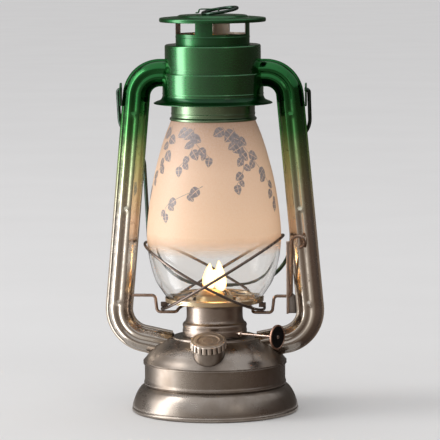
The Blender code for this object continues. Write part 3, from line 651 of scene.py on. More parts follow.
# %% Wick cloth
wick_cloth, shader = start_finish("wick_cloth", (0.70, 0.64, 0.52), 0.95)
place = place_on_piece(wick_cloth)
height = height_at(wick_cloth, place)
weave = add(wick_cloth, "TexWave", [("Vector", place), ("Scale", 900.0), ("Distortion", 1.5)],
            wave_type="BANDS", bands_direction="DIAGONAL").outputs["Fac"]
char = stretch(wick_cloth, height, 0.0885, 0.0925, 0.0, 1.0)
cotton = mixed(wick_cloth, stretch(wick_cloth, weave, 0.2, 0.8, 0.0, 0.4), (0.70, 0.64, 0.52),
               (0.48, 0.42, 0.32))
join(wick_cloth, mixed(wick_cloth, char, cotton, (0.02, 0.016, 0.013)), shader.inputs["Base Color"])
join(wick_cloth, relief(wick_cloth, weave, 0.8, 0.0002), shader.inputs["Normal"])
print("cloth:", wick_cloth.name)

# %% Wick
wick_low, wick_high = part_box("wick")
wick_w, wick_t = 0.0220, 0.0026
columns = 24
rows_up = (wick_low.z, wick_low.z + 0.02, wick_high.z - 0.02, wick_high.z - 0.004, wick_high.z - 0.0012)
points, faces = [], []
for column in range(columns + 1):
    across = wick_w * (column / columns - 0.5)
    crown_drop = 0.0009 * (2 * column / columns - 1) ** 4
    tuft = 0.00025 * (column % 2)
    for side in (-1, 1):
        points += [(across, side * wick_t / 2, z) for z in rows_up]
        points.append((across, side * wick_t * 0.3, wick_high.z - crown_drop - tuft))
high = len(rows_up) + 1
for column in range(columns):
    here, there = column * 2 * high, (column + 1) * 2 * high
    ring = list(range(high)) + list(range(2 * high - 1, high - 1, -1))
    for a, b in zip(ring, ring[1:] + ring[:1]):
        faces.append((here + a, here + b, there + b, there + a))
faces.append([i for i in range(high)] + [i for i in range(2 * high - 1, high - 1, -1)])
last = columns * 2 * high
faces.append([last + i for i in range(high)] + [last + i for i in range(2 * high - 1, high - 1, -1)])
wick = smooth_mesh("wick_strip_woven", points, faces, 30)
wick.rotation_euler.z = wick_turn
finish_piece(wick, wick_cloth, "wick_strip", ["wick"])
print("wick", wick_w * 1000, "mm wide")

# %% [markdown]
# ## Wick shaft and knob
# A thin steel shaft comes out of the burner to the front right and ends in a flat knob. The knob
# is two pieces: a thin copper-coloured ring with fine knurling, and a dark face set a little
# lower in it. Both are made upright and then turned onto the shaft's line, so that their turning
# marks follow their own axis.

# %% Wick shaft
shaft_place = Vector((-0.0025, -0.00433, 0.0625))
shaft_axis = (Matrix.Translation(shaft_place) @ Matrix.Rotation(wick_turn, 4, "Z")
              @ Matrix.Rotation(math.radians(90), 4, "Y"))
shaft_r, knob_r, knob_face_at, knob_back_at = 0.0012, 0.0096, 0.0639, 0.0621
rod = softened([(0, knob_face_at + 0.0002), (0.0014, knob_face_at + 0.0001, 0.0004),
                (0.0014, knob_face_at - 0.0004), (shaft_r, knob_back_at), (shaft_r, 0.0300),
                (0.0021, 0.0294, 0.0003), (0.0021, 0.0270, 0.0003), (shaft_r, 0.0264), (shaft_r, -0.0100),
                (0, -0.0100)])
shaft = turned("wick_shaft_turned", rod, 40)
shaft.matrix_world = shaft_axis
shaft_steel = worked_metal("shaft_steel", (0.62, 0.50, 0.44), (0.35, 0.25, 0.20), 0.22, cloud=150.0)
finish_piece(shaft, shaft_steel, "wick_drive", ["wick_shaft"])
print("shaft", mm(2 * shaft_r), "mm thick")

# %% Knob's knurled ring
knurls, knurl_depth = 72, 0.00018
rim_line = softened([(knob_r - 0.0012, knob_face_at - 0.0002), (knob_r - 0.0009, knob_face_at, 0.0002),
                     (knob_r, knob_face_at - 0.0001, 0.0003), (knob_r, knob_back_at + 0.0001, 0.0003),
                     (knob_r - 0.0012, knob_back_at, 0.0002), (knob_r - 0.0014, knob_back_at + 0.0006)])
points = []
for step in range(knurls * 4):
    angle = 2 * math.pi * step / (knurls * 4)
    bite = knurl_depth * (0, 0.6, 1, 0.6)[step % 4]
    for r, z in rim_line:
        near_edge = r - bite if r > knob_r - 0.0004 else r
        points.append((near_edge * math.cos(angle), near_edge * math.sin(angle), z))
knob_rim = smooth_mesh("knob_rim", points, faces_round(knurls * 4, len(rim_line)), 60)
knob_rim.matrix_world = shaft_axis
finish_piece(knob_rim, knob_copper, "wick_drive", ["wick_knob"])
print(knurls, "knurls")

# %% Knob's dark face
face_line = softened([(0.0014, knob_face_at - 0.0003), (0.0030, knob_face_at - 0.0003, 0.0003),
                      (0.0034, knob_face_at - 0.0005, 0.0003), (0.0070, knob_face_at - 0.0005, 0.0003),
                      (0.0074, knob_face_at - 0.0003, 0.0003), (knob_r - 0.0009, knob_face_at - 0.0003),
                      (knob_r - 0.0009, knob_back_at + 0.0004), (0.0014, knob_back_at + 0.0004)])
knob_face = turned("knob_face", face_line, 96)
knob_face.matrix_world = shaft_axis
finish_piece(knob_face, knob_dark, "wick_drive", ())
print("knob", mm(2 * knob_r), "mm wide at", round(knob_face_at * 1000), "mm from the wick")

# %% [markdown]
# ## Plate under the globe
# The globe stands in a shallow plate with an upright rim. The plate is pierced, so that air gets
# to the flame from below, and its stiffening rings glow in the flame's light.

# %% Globe plate
plate_low, plate_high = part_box("globe_plate")
plate_r, plate_z, rim_top = plate_high.x, plate_low.z, plate_high.z
plate_line = softened([(plate_r - 0.0006, rim_top - 0.0003), (plate_r - 0.0002, rim_top, 0.0003),
                       (plate_r, rim_top - 0.0006, 0.0004), (plate_r - 0.0002, rim_top - 0.0010, 0.0003),
                       (plate_r - 0.0002, plate_z + 0.0016, 0.0004),
                       (plate_r - 0.0014, plate_z + 0.0010, 0.0010),
                       (0.0345, plate_z + 0.0008, 0.0006), (0.0338, plate_z + 0.0003, 0.0006),
                       (0.0330, plate_z + 0.0007, 0.0006), (0.0290, plate_z + 0.0005, 0.0006),
                       (0.0283, plate_z, 0.0006), (0.0276, plate_z + 0.0004, 0.0006),
                       (0.0252, plate_z, 0.0004),
                       (0.0228, plate_z, 0.0008), (0.0204, plate_z + 0.0024, 0.0010),
                       (0.0172, plate_z + 0.0032)])
plate = turned("globe_plate_turned", sheet_metal(plate_line, 0.0007))
plate_brass = worked_metal("plate_brass", (0.82, 0.68, 0.47), (0.55, 0.38, 0.22), 0.22, marks=3400.0)
finish_piece(plate, plate_brass, "globe_carrier", ["globe_plate"])
vent_row_r, vent_hole_r = 0.0311, 0.0011
holes = bmesh.new()
for degrees in range(5, 365, 10):
    x, y = vent_row_r * math.cos(math.radians(degrees)), vent_row_r * math.sin(math.radians(degrees))
    add_round(holes, vent_hole_r, 0.005, Matrix.Translation((x, y, plate_z + 0.0005)), 12)
cut_form(plate, holes)
print("plate", len(plate.data.polygons), "faces")

# %% [markdown]
# ## Glass globe
# The globe is blown glass, clear below and frosted above the flame. One material could mix clear
# and frosted glass by height. Two pieces are used instead: the clear glass, and a very thin
# frosted layer on its outside whose lower edge fades out. The layer glows a little, because the
# flame lights it from inside; light through rough glass would need far more render samples.

# %% Clear glass
globe_low, globe_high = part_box("globe")
globe_z, globe_h = globe_low.z, globe_high.z - globe_low.z
belly_r, mouth_r = globe_high.x, 0.0312
glass_t = 0.0020
belly = [(0.02, 0.975), (0.06, 0.966), (0.13, 0.940), (0.35, 0.857), (0.576, 0.747), (0.81, 0.60),
         (0.957, 0.447), (1, 0.344), (0.935, 0.235), (0.728, 0.119), (0.47, 0.055), (0.32, 0.024)]
swell = belly_r - mouth_r
belly_line = curved([(mouth_r + swell * a, globe_z + globe_h * b) for a, b in belly], 6)
globe_side = softened([(mouth_r - 0.0010, globe_z + globe_h), (mouth_r - 0.0001, globe_z + globe_h, 0.0007),
                       (mouth_r, globe_z + globe_h - 0.0016)]) + belly_line
globe_side += softened([belly_line[-1], (mouth_r + swell * 0.262, globe_z + 0.0012, 0.0010),
                        (mouth_r + swell * 0.257 - 0.0006, globe_z, 0.0006),
                        (mouth_r + swell * 0.257 - 0.0014, globe_z)])[1:]
globe = turned("glass_globe", sheet_metal(globe_side, glass_t))

clear_glass, shader = start_finish("clear_glass", (0.985, 0.975, 0.955), 0.02, 0.0,
                                   Transmission_Weight=1.0, IOR=1.45)
ripples = relief(clear_glass, noise(clear_glass, place_on_piece(clear_glass), 42.0, 1.0), 0.25, 0.0012)
join(clear_glass, ripples, shader.inputs["Normal"])
finish_piece(globe, clear_glass, "globe_carrier", ["globe"])
print("globe", mm(2 * belly_r), "mm wide,", mm(globe_h), "mm high")

# %% [markdown]
# ## Frost
# The frost is a layer of etched glass with a soft lower edge. To lie on the glass it has to know
# the glass's radius at every height, which is read off the outline. Alpha fades the layer out,
# with a little noise so that its edge isn't a ruled line.

# %% Frosted layer
def glass_radius(z):
    """Radius of the globe's outer side at height z."""
    for above, below in zip(globe_side, globe_side[1:]):
        if above.y >= z > below.y:
            share = (above.y - z) / (above.y - below.y)
            return above.x + (below.x - above.x) * share
    return mouth_r


frost_low_z, frost_high_z = 0.1235, globe_z + globe_h - 0.0030
frost_side = [Vector((glass_radius(z) + 0.00009, z)) for z in
              (frost_high_z + (frost_low_z - frost_high_z) * i / 64 for i in range(65))]
frost_layer = turned("frosted_layer", sheet_metal(frost_side, 0.00005))

frost, shader = start_finish("frost", (0.80, 0.58, 0.42), 0.55, Emission_Color=(1.0, 0.60, 0.33, 1))
place = place_on_piece(frost)
height = height_at(frost, place)
grain = noise(frost, place, 900.0, 2.0)
uneven = noise(frost, place, 60.0, 2.0)
edge = add(frost, "Math", [(0, uneven), (1, 0.004), (2, height)], operation="MULTIPLY_ADD").outputs[0]
cover = stretch(frost, edge, 0.1265, 0.1425, 0.0, 0.94)
join(frost, cover, shader.inputs["Alpha"])
# Painted flame light: the frost's base colour is a warm peach that grows darker towards the top, where the
# flame lights it less.
flame_lit_tint = ramp(frost, stretch(frost, height, 0.125, 0.232, 0.0, 1.0),
            [(0.0, (0.76, 0.55, 0.37)), (0.25, (0.82, 0.57, 0.38)), (0.6, (0.78, 0.53, 0.36)),
             (1.0, (0.48, 0.29, 0.20))])
join(frost, mixed(frost, stretch(frost, grain, 0.3, 0.7, 0.0, 0.12), flame_lit_tint, (0.95, 0.92, 0.88)),
     shader.inputs["Base Color"])
glow = ramp(frost, stretch(frost, height, 0.125, 0.232, 0.0, 1.0),
            [(0.0, 0.12), (0.12, 0.20), (0.4, 0.14), (1.0, 0.05)])
join(frost, glow, shader.inputs["Emission Strength"])
join(frost, relief(frost, grain, 0.3, 0.0001), shader.inputs["Normal"])
finish_piece(frost_layer, frost, "globe_carrier", ())
print("frost from", round(frost_low_z * 1000), "to", round(frost_high_z * 1000), "mm")

# %% [markdown]
# ## Leaf print on the frost
# A printed vine hangs over the frosted glass. The pattern is a plain one made for this lamp:
# eleven hanging sprays with heart-shaped leaves to the left and right in turn. Each leaf is a
# small mesh laid on the glass: its outline is drawn flat, bent round the globe, and given a
# hair's thickness. Painting the leaves in the shader would also work, but a mesh keeps their
# outlines sharp in any render.

# %% Leaf print
def on_glass(angle, z, lift):
    r = glass_radius(z) + lift
    return (r * math.cos(angle), r * math.sin(angle), z)


def leaf_outline(length, width, notch):
    """Right half of a heart-shaped leaf from its stalk to its tip, as (across, along) points."""
    half = []
    for step in range(13):
        t = step / 12
        along = length * (t - notch * (1 - t) ** 2 * math.sin(math.pi * min(t * 2.2, 1)))
        half.append((width * math.sin(math.pi * t ** 0.72) ** 0.85 * (1 - 0.25 * t), along))
    return half


print("leaf half of", len(leaf_outline(1, 1, 0)), "points")

# %% Strips on the glass
print_points, print_faces = [], []
ink_lift = 0.00015


def lay_strip(left, right, angle, z, turn):
    """Lay a strip between two rows of flat points on the glass, turned round its own root."""
    first = len(print_points)
    for row in (left, right):
        for across, along in row:
            dx = across * math.cos(turn) - along * math.sin(turn)
            dz = across * math.sin(turn) + along * math.cos(turn)
            spot_z = min(max(z + dz, frost_low_z + 0.004), frost_high_z - 0.001)
            print_points.append(on_glass(angle + dx / glass_radius(spot_z), spot_z, ink_lift))
    count = len(left)
    for i in range(count - 1):
        print_faces.append((first + i, first + i + 1, first + count + i + 1, first + count + i))


print("strips can be laid on the glass")

# %% [markdown]
# ## From leaf to spray
# A printed leaf is two halves with a bare rib between them, cut by bare side ribs. A spray is a
# swaying stem with leaves that get smaller towards its tip. They could be copies of one leaf;
# drawn one by one by the same rule they differ a little, as drawn leaves do.

# %% Leaves, stems and sprays
def leaf(angle, z, turn, length, width):
    """Two halves with a fine bare line between them for the middle rib, cut by bare side ribs."""
    half = leaf_outline(length, width / 2, 0.12)
    rib = length * 0.032
    for side in (1, -1):
        for start in range(0, 12, 4):
            part = half[start:start + 5]
            if start:
                part = [(part[0][0], part[0][1] + rib)] + part[1:]
            inner = [(side * rib * 0.8, along) for across, along in part]
            outer = [(side * max(across, rib), along + (0.10 * across)) for across, along in part]
            lay_strip(inner, outer, angle, z, turn)


def stem(points, width):
    """A thin printed line through (angle, z) points."""
    for (a, z), (b, y) in zip(points, points[1:]):
        r = glass_radius((z + y) / 2)
        dx, dz = (b - a) * r, y - z
        turn = math.atan2(-dx, dz)
        long = math.hypot(dx, dz)
        lay_strip([(-width / 2, 0), (-width / 2, long)], [(width / 2, 0), (width / 2, long)], a, z, turn)


sway_r, sway_width = 0.036, 0.011


def spray(angle, z, drop, sway, leaf_length, count, phase):
    """A hanging stem that sways to one side, with leaves to its left and right."""
    line = []
    for step in range(count * 3 + 1):
        t = step / (count * 3)
        line.append((angle + sway * math.sin(t * 2.6 + phase) / sway_r * sway_width, z - drop * t))
    stem(line, 0.00035)
    for step in range(count):
        t = (step + 0.6) / count
        at = line[min(int(t * count * 3), len(line) - 1)]
        side = 1 if step % 2 else -1
        size = leaf_length * (1 - 0.35 * t) * (0.86 + 0.14 * math.sin(step * 2.4 + phase))
        turn = math.pi + side * math.radians(62 - 28 * t) + 0.25 * math.sin(step * 1.7 + phase)
        leaf(at[0] + side * 0.012, at[1] - 0.0006, turn, size, size * 0.86)
    leaf(line[-1][0], line[-1][1], math.pi + 0.15 * sway, leaf_length * 0.7, leaf_length * 0.58)


print("leaf, stem and spray are ready")

# %% Sprays round the globe
front = -math.pi / 2
for start, start_z, drop, sway, size, count, phase in (
        (-0.62, 0.2240, 0.030, 1.0, 0.0116, 6, 0.3), (-0.10, 0.2235, 0.022, -0.8, 0.0108, 5, 1.1),
        (0.30, 0.2245, 0.044, 1.2, 0.0114, 8, 0.0), (0.92, 0.2235, 0.058, -1.3, 0.0122, 10, 2.0),
        (-1.30, 0.2235, 0.050, 1.1, 0.0118, 9, 0.8), (1.70, 0.2240, 0.036, 1.0, 0.0114, 7, 0.5),
        (2.45, 0.2235, 0.052, -1.2, 0.0118, 9, 1.6), (-2.10, 0.2240, 0.030, 0.9, 0.0110, 6, 2.6),
        (3.05, 0.2240, 0.026, 0.8, 0.0110, 5, 0.9), (-0.34, 0.1800, 0.022, 1.3, 0.0110, 5, 2.4),
        (2.95, 0.1850, 0.022, -1.2, 0.0106, 5, 0.2)):
    spray(front + start, start_z, drop, sway, size, count, phase)

print_mesh = bpy.data.meshes.new("leaf_print")
print_mesh.from_pydata(print_points, [], print_faces)
print_mesh.update()
leaf_print = bpy.data.objects.new("leaf_print", print_mesh)
thin = leaf_print.modifiers.new("Ink", "SOLIDIFY")
thin.thickness = 0.00003
thin.offset = 0
print("leaf print:", len(print_faces), "small faces")

# %% [markdown]
# ## Printing ink
# The ink is thin and lets the light through in places. A flat colour would look like paper, so
# noise varies both its colour and how much it covers.

# %% Ink
ink, shader = start_finish("leaf_ink", (0.30, 0.265, 0.27), 0.45)
place = place_on_piece(ink)
patches = noise(ink, place, 520.0, 3.0)
shade = mixed(ink, stretch(ink, patches, 0.35, 0.65, 0.0, 1.0), (0.26, 0.225, 0.225), (0.46, 0.385, 0.365))
join(ink, shade, shader.inputs["Base Color"])
join(ink, stretch(ink, patches, 0.3, 0.75, 0.92, 0.72), shader.inputs["Alpha"])
finish_piece(leaf_print, ink, "globe_carrier", ())
print("ink:", ink.name)

# %% [markdown]
# ## Bent wire
# The guard, lever, bail and lift ring are bent from round wire. A curve with a round bevel gives
# that directly; its path is straight runs whose corners are rounded by short arcs.

# %% Bent wire
def wire(name, path, radius, closed=False, sides=5):
    data = bpy.data.curves.new(name, "CURVE")
    data.dimensions = "3D"
    data.bevel_depth = radius
    data.bevel_resolution = sides
    data.use_fill_caps = not closed
    poly_line(data, path, closed).use_smooth = True
    return bpy.data.objects.new(name, data)


def bent(corners, steps=10):
    """Points along straight runs; a corner given as (point, radius) is rounded by an arc."""
    path = []
    for index, (spot, radius) in enumerate(corners):
        here = Vector(spot)
        if not radius:
            path.append(here)
            continue
        back = (Vector(corners[index - 1][0]) - here).normalized()
        ahead = (Vector(corners[index + 1][0]) - here).normalized()
        half = back.angle(ahead) / 2
        centre = here + (back + ahead).normalized() * (radius / math.sin(half))
        first = here + back * (radius / math.tan(half)) - centre
        last = here + ahead * (radius / math.tan(half)) - centre
        path += [centre + first.slerp(last, i / steps).normalized() * radius for i in range(steps + 1)]
    return path


print("wires are ready to bend")

# %% [markdown]
# ## Guard wires
# Two closed wire loops cross in front of the globe and behind it. Each is an ellipse that leans,
# and its four numbers, a high and a low point, come from the working model.

# %% Guard wires
guard_wire_r = 0.0011
for name, high, low, half_y in (("guard_wire_a", (-0.0540, 0.0469), (0.0390, -0.0045), 0.0500),
                                ("guard_wire_b", (0.0540, 0.0529), (-0.0410, -0.0045), 0.0531)):
    middle = ((high[0] + low[0]) / 2, (high[1] + low[1]) / 2)
    loop = []
    for step in range(120):
        turn = 2 * math.pi * step / 120
        loop.append((middle[0] + (high[0] - middle[0]) * math.cos(turn), half_y * math.sin(turn),
                     plate_z + middle[1] + (high[1] - middle[1]) * math.cos(turn)))
    guard = wire(name + "_bent", loop, guard_wire_r, True)
    finish_piece(guard, drawn_wire, "globe_carrier", [name])
print("two guard loops of", guard_wire_r * 2000, "mm wire")

# %% [markdown]
# ## Side tubes
# Each side tube is two pressings joined along flanges at its inner and outer side. Down the
# middle of each pressing runs a groove between two soft beads, and at three heights the groove is
# interrupted by a small cross bead that stiffens the tube. A curve with a bevel can't show these,
# so each pressing is a loft: one section, whose groove and beads depend on the distance along the
# tube, is set up at many stations along the centre line.

# %% Side tubes
tube_top_z, tube_corner_x = 0.2640, 0.0583
tube_foot_z, tube_foot_x = 0.0600, 0.0769
half_w, half_d, flange, wall_t = 0.0094, 0.0090, 0.0013, 0.0008
leg_lean = math.atan2(tube_foot_x - tube_corner_x, tube_top_z - tube_foot_z)
cross_bead_heights, cross_bead_length = (0.2315, 0.158, 0.0845), 0.0013
groove_depth, bead_depth, cross_bead_depth = 0.0014, 0.0006, 0.0003

corners = [((0.0358, 0, tube_top_z), 0), ((tube_corner_x, 0, tube_top_z), 0.0187),
           ((tube_foot_x, 0, tube_foot_z), 0.0240), ((0.0280, 0, 0.0496), 0)]
rough_path = bent(corners, 22)
centre_line = []
for a, b in zip(rough_path, rough_path[1:]):
    pieces = max(1, round((b - a).length / 0.0014))
    centre_line += [a.lerp(b, i / pieces) for i in range(pieces)]
centre_line.append(rough_path[-1])


def tube_section(cross):
    """(outward, forward) points of one pressing; cross is 1 at a cross bead."""
    outer, inner = [], []
    w, d = half_w, half_d
    tip = w + flange
    outer += [(tip, 0.0001), (tip, 0.0007), (w + 0.0002, 0.0009)]
    for step in range(33):
        degrees = 6 + 168 * step / 32
        away = abs(degrees - 90)
        groove = groove_depth * math.exp(-(away / 10.0) ** 2) * (1 - cross)
        bead = bead_depth * math.exp(-((away - 26) / 9) ** 2) * (1 - 0.4 * cross)
        ridge = cross_bead_depth * cross * math.exp(-(away / 34) ** 4)
        swell = 1 + (bead + ridge - groove) / d
        angle = math.radians(degrees)
        outer.append((w * math.cos(angle) * (1 + ridge / d), d * math.sin(angle) * swell + 0.0001))
    outer += [(-w - 0.0002, 0.0009), (-tip, 0.0007), (-tip, 0.0001)]
    for step in range(9):
        angle = math.radians(172 - 164 * step / 8)
        inner.append(((w - wall_t) * math.cos(angle), (d - wall_t - 0.0016) * math.sin(angle) + 0.0001))
    return outer + inner


print("section of", len(tube_section(0)), "points")

# %% Lofted pressing
def press(name, side, facing):
    """One pressing: side is -1 at the left, facing is 1 at the front."""
    points, faces = [], []
    count = 0
    for index, spot in enumerate(centre_line):
        before = centre_line[max(index - 1, 0)]
        after = centre_line[min(index + 1, len(centre_line) - 1)]
        along = (after - before).normalized()
        outward = Vector((-along.z, 0, along.x))
        on_leg = 1 if abs(along.z) > 0.3 else 0
        cross = on_leg * max(math.exp(-((spot.z - z) / cross_bead_length) ** 2) for z in cross_bead_heights)
        section = tube_section(cross)
        count = len(section)
        for out, front in section:
            point = spot + outward * out
            points.append((point.x * side, -front * facing, point.z))
    stations = len(centre_line)
    for row in range(stations - 1):
        for column in range(count):
            low = row * count
            after = (column + 1) % count
            faces.append((low + column, low + after, low + count + after, low + count + column))
    faces.append(tuple(range(count)))
    faces.append(tuple(range((stations - 1) * count, stations * count)))
    return smooth_mesh(name, points, faces, 42)


print("tube path", round(sum((b - a).length for a, b in zip(centre_line, centre_line[1:])) * 1000),
      "mm long")

# %% [markdown]
# ## Lacquer that runs out over the tube
# Only the lamp's upper part is lacquered. On the tubes the green fades to bare bright metal over
# the middle of the leg, so the colour follows the height on the piece, with a slightly uneven
# border. The metal is polished, with soft dents from pressing and a few dull spots.

# %% Tube finish
tube_finish, shader = start_finish("tube_finish", (0.55, 0.52, 0.47), 0.14, 1.0,
                                   Coat_Weight=0.35, Coat_Roughness=0.05)
place = place_on_piece(tube_finish)
height = height_at(tube_finish, place)
uneven = noise(tube_finish, place, 45.0, 3.0)
edge = add(tube_finish, "Math", [(0, uneven), (1, 0.012), (2, height)], operation="MULTIPLY_ADD").outputs[0]
spots = noise(tube_finish, place, 210.0, 5.0, 0.6)
bare = mixed(tube_finish, stretch(tube_finish, spots, 0.54, 0.72, 0.0, 0.45), (0.68, 0.63, 0.575),
             (0.36, 0.29, 0.235))
painted = ramp(tube_finish, stretch(tube_finish, edge, 0.155, 0.250, 0.0, 1.0),
               [(0.0, (1.0, 0.97, 0.92)), (0.25, (0.92, 0.98, 0.74)), (0.52, (0.52, 0.78, 0.40)),
                (0.75, (0.10, 0.40, 0.12)), (1.0, (0.020, 0.21, 0.050))])
# Painted shade: below about 88 mm the bare metal gets darker towards the tubes' lower bends.
low_bend_shade = stretch(tube_finish, edge, 0.048, 0.088, 0.42, 1.0)
bare = mixed(tube_finish, low_bend_shade, (0.10, 0.075, 0.06), bare)
join(tube_finish, mixed(tube_finish, 1.0, bare, painted, "MULTIPLY"), shader.inputs["Base Color"])
join(tube_finish, stretch(tube_finish, spots, 0.40, 0.72, 0.11, 0.34), shader.inputs["Roughness"])
dents = relief(tube_finish, noise(tube_finish, place, 95.0, 2.0), 0.35, 0.0005)
join(tube_finish, relief(tube_finish, spots, 0.25, 0.00006, dents), shader.inputs["Normal"])
print("tube finish:", tube_finish.name)

# %% [markdown]
# ## Four pressings, cut to the dome
# The tubes' lower ends follow the tank's dome. Working out that edge by hand is hard, because a
# slanting tube meets a curved dome. So each pressing runs on into the dome, and the dome's own
# outline, turned into a solid, cuts the end off.

# %% Tubes cut to the tank
def saddle_tool():
    """The solid that the tubes end on: all that lies inside the dome's outer side."""
    line = [Vector((0, 0.09)), Vector((ring_r + 0.0002, 0.09)),
            Vector((ring_r + 0.0002, dome_top - 0.0016))]
    line += [Vector((spot.x + 0.00005, spot.y + 0.00005)) for spot in crown_line]
    line += [Vector((tank_r, wall_top - 0.01)), Vector((0, wall_top - 0.01))]
    return turned("saddle_tool", line, 96)


saddle = saddle_tool()
bpy.context.scene.collection.objects.link(saddle)
for side, side_name in ((-1, "left"), (1, "right")):
    for facing, face_name in ((-1, "rear"), (1, "front")):
        node = f"tube_{side_name}_{face_name}"
        pressing = press(node + "_pressing", side, facing)
        finish_piece(pressing, tube_finish, "lamp", [node])
        cut_with(pressing, saddle)
        print(node, len(pressing.data.polygons), "faces")
bpy.data.objects.remove(saddle, do_unlink=True)

# %% [markdown]
# ## Green lacquer
# The canopy and hood wear a clear green lacquer over tin: the metal's glints show through it, so
# it is a green metal under a clear coat. The chimney collar below the canopy has less of it and
# looks pale and satin; the hood's drum has gone dull from heat.

# %% Lacquers
green_lacquer = worked_metal("green_lacquer", (0.010, 0.155, 0.030), (0.007, 0.080, 0.020), 0.20,
                             marks=1500.0, cloud=30.0, gloss_spread=0.06, edge=(0.35, 0.70, 0.40),
                             lacquer=1.0)
hood_lacquer = worked_metal("hood_lacquer", (0.010, 0.115, 0.028), (0.007, 0.055, 0.018), 0.28,
                            marks=1500.0, cloud=60.0, edge=(0.60, 0.92, 0.62), lacquer=0.5)
pale_lacquer = worked_metal("pale_lacquer", (0.175, 0.275, 0.145), (0.09, 0.16, 0.08), 0.26,
                            marks=2400.0, cloud=50.0, lacquer=0.8)
dark_green_wire = worked_metal("dark_green_wire", (0.020, 0.050, 0.030), (0.012, 0.022, 0.016), 0.26,
                               cloud=150.0, lacquer=0.4)
print("lacquers:", green_lacquer.name, hood_lacquer.name, pale_lacquer.name)

# %% [markdown]
# ## Canopy
# The canopy is a round air chamber in two steps: an upper drum, and a slightly wider skirt whose
# edge flares out. The bright line between them is the skirt's rounded shoulder.

# %% Canopy
drum_low, drum_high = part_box("canopy_drum")
skirt_low, skirt_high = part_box("canopy_skirt")
canopy_top, canopy_step, canopy_low = drum_high.z, 0.2640, skirt_low.z
upper_r, lower_r, flare_r = drum_high.x, 0.0392, skirt_high.x
drum_line = softened([(0.0293, canopy_top - 0.0004), (0.0300, canopy_top, 0.0004),
                      (upper_r, canopy_top, 0.0016),
                      (upper_r, canopy_step + 0.0040), (upper_r - 0.0002, canopy_step + 0.0030, 0.0006),
                      (upper_r - 0.0002, drum_low.z)])
drum = turned("canopy_upper", sheet_metal(drum_line))
finish_piece(drum, green_lacquer, "lamp", ["canopy_drum"])
print("canopy drum", mm(2 * upper_r), "mm wide")

# %% Canopy skirt
flare_top = canopy_low + 0.0066
skirt_line = softened([(upper_r + 0.0001, canopy_step + 0.0002), (lower_r, canopy_step + 0.0001, 0.0012),
                       (lower_r, flare_top + 0.0018, 0.0006),
                       (lower_r + 0.00035, flare_top + 0.0011, 0.0004),
                       (lower_r, flare_top + 0.0004, 0.0005), (lower_r + 0.0001, flare_top - 0.0008)])
skirt_line += curved([(lower_r + 0.0001, flare_top - 0.0008), (lower_r + 0.0006, flare_top - 0.0022),
                      (lower_r + 0.0019, flare_top - 0.0038), (flare_r - 0.0020, canopy_low + 0.0015),
                      (flare_r - 0.0004, canopy_low + 0.0007)])[1:]
skirt_line += softened([skirt_line[-1], (flare_r, canopy_low + 0.0003, 0.0003),
                        (flare_r - 0.0003, canopy_low)])[1:]
skirt_piece = turned("canopy_lower", sheet_metal(skirt_line))
finish_piece(skirt_piece, green_lacquer, "lamp", ["canopy_skirt"])
# Painted shade: the flare's upward-facing faces get a darker, duller lacquer, so that its top looks shaded.
flare_top_shade = worked_metal("flare_top_shade", (0.005, 0.050, 0.014), (0.003, 0.025, 0.008), 0.30,
                             marks=1500.0, cloud=60.0, lacquer=0.25, edge=(0.35, 0.70, 0.40))
second_look(skirt_piece, flare_top_shade, lambda face: face.normal.z > 0.2 and face.center.z < flare_top)
print("canopy", mm(2 * lower_r), "mm wide, flare", mm(2 * flare_r), "mm")

# %% [markdown]
# ## Chimney collar and hood
# A pale collar sits on the globe, and a drum goes up from it through the canopy. The drum's top
# has four windows that let the hot air out, with narrow posts between them, under a flat rain cap
# with a turned-down edge. The collar, drum and cap lift together, against a hidden spring.

# %% Chimney collar
chimney_low, chimney_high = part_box("chimney_collar")
drum_node_low, drum_node_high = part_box("hood_drum")
band_low, band_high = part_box("vent_band")
hood_low, hood_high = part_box("hood_cap")
hood_drum_r = drum_node_high.x
shoulder_z = chimney_low.z + 0.0196
lip_r, collar_r = chimney_high.x, 0.0325
collar_rows = softened([(0.0299, chimney_high.z), (0.0299, shoulder_z + 0.0022, 0.0006),
                        (collar_r, shoulder_z, 0.0016),
                        (collar_r, chimney_low.z + 0.0060, 0.0005),
                        (collar_r + 0.0004, chimney_low.z + 0.0052, 0.0004),
                        (collar_r, chimney_low.z + 0.0044, 0.0005),
                        (collar_r, chimney_low.z + 0.0027, 0.0005),
                        (lip_r, chimney_low.z + 0.0017, 0.0007), (lip_r, chimney_low.z + 0.0003, 0.0003),
                        (lip_r - 0.0004, chimney_low.z)])
chimney = turned("chimney_collar_turned", sheet_metal(collar_rows))
finish_piece(chimney, pale_lacquer, "hood", ["chimney_collar"])
print("chimney collar", mm(2 * collar_r), "mm wide")

# %% Drum with windows
drum_rows = softened([(hood_drum_r, band_high.z), (hood_drum_r, band_low.z - 0.0016, 0.0004),
                      (hood_drum_r + 0.0003, band_low.z - 0.0024, 0.0004),
                      (hood_drum_r, band_low.z - 0.0032, 0.0004),
                      (hood_drum_r, drum_node_low.z)])
hood_drum = turned("hood_drum_turned", sheet_metal(drum_rows, 0.0007))
finish_piece(hood_drum, hood_lacquer, "hood", ["hood_drum", "vent_band"])
window_top, window_low = band_high.z - 0.0012, band_low.z
window_w = 2 * hood_drum_r * math.sin(math.radians(31))
for index in range(2):
    turn = Matrix.Rotation(math.radians(-8 + 45 + 90 * index), 4, "Z")
    middle = Matrix.Translation((0, 0, (window_top + window_low) / 2))
    cut_slot(hood_drum, (0.08, window_w, window_top - window_low), middle @ turn)

hood_drum.data.materials.append(cap_tin)
for face in hood_drum.data.polygons:
    outward = face.center.x * face.normal.x + face.center.y * face.normal.y
    face.material_index = 1 if outward < -0.5 * hood_drum_r else 0
print("hood windows", mm(window_w), "mm wide")

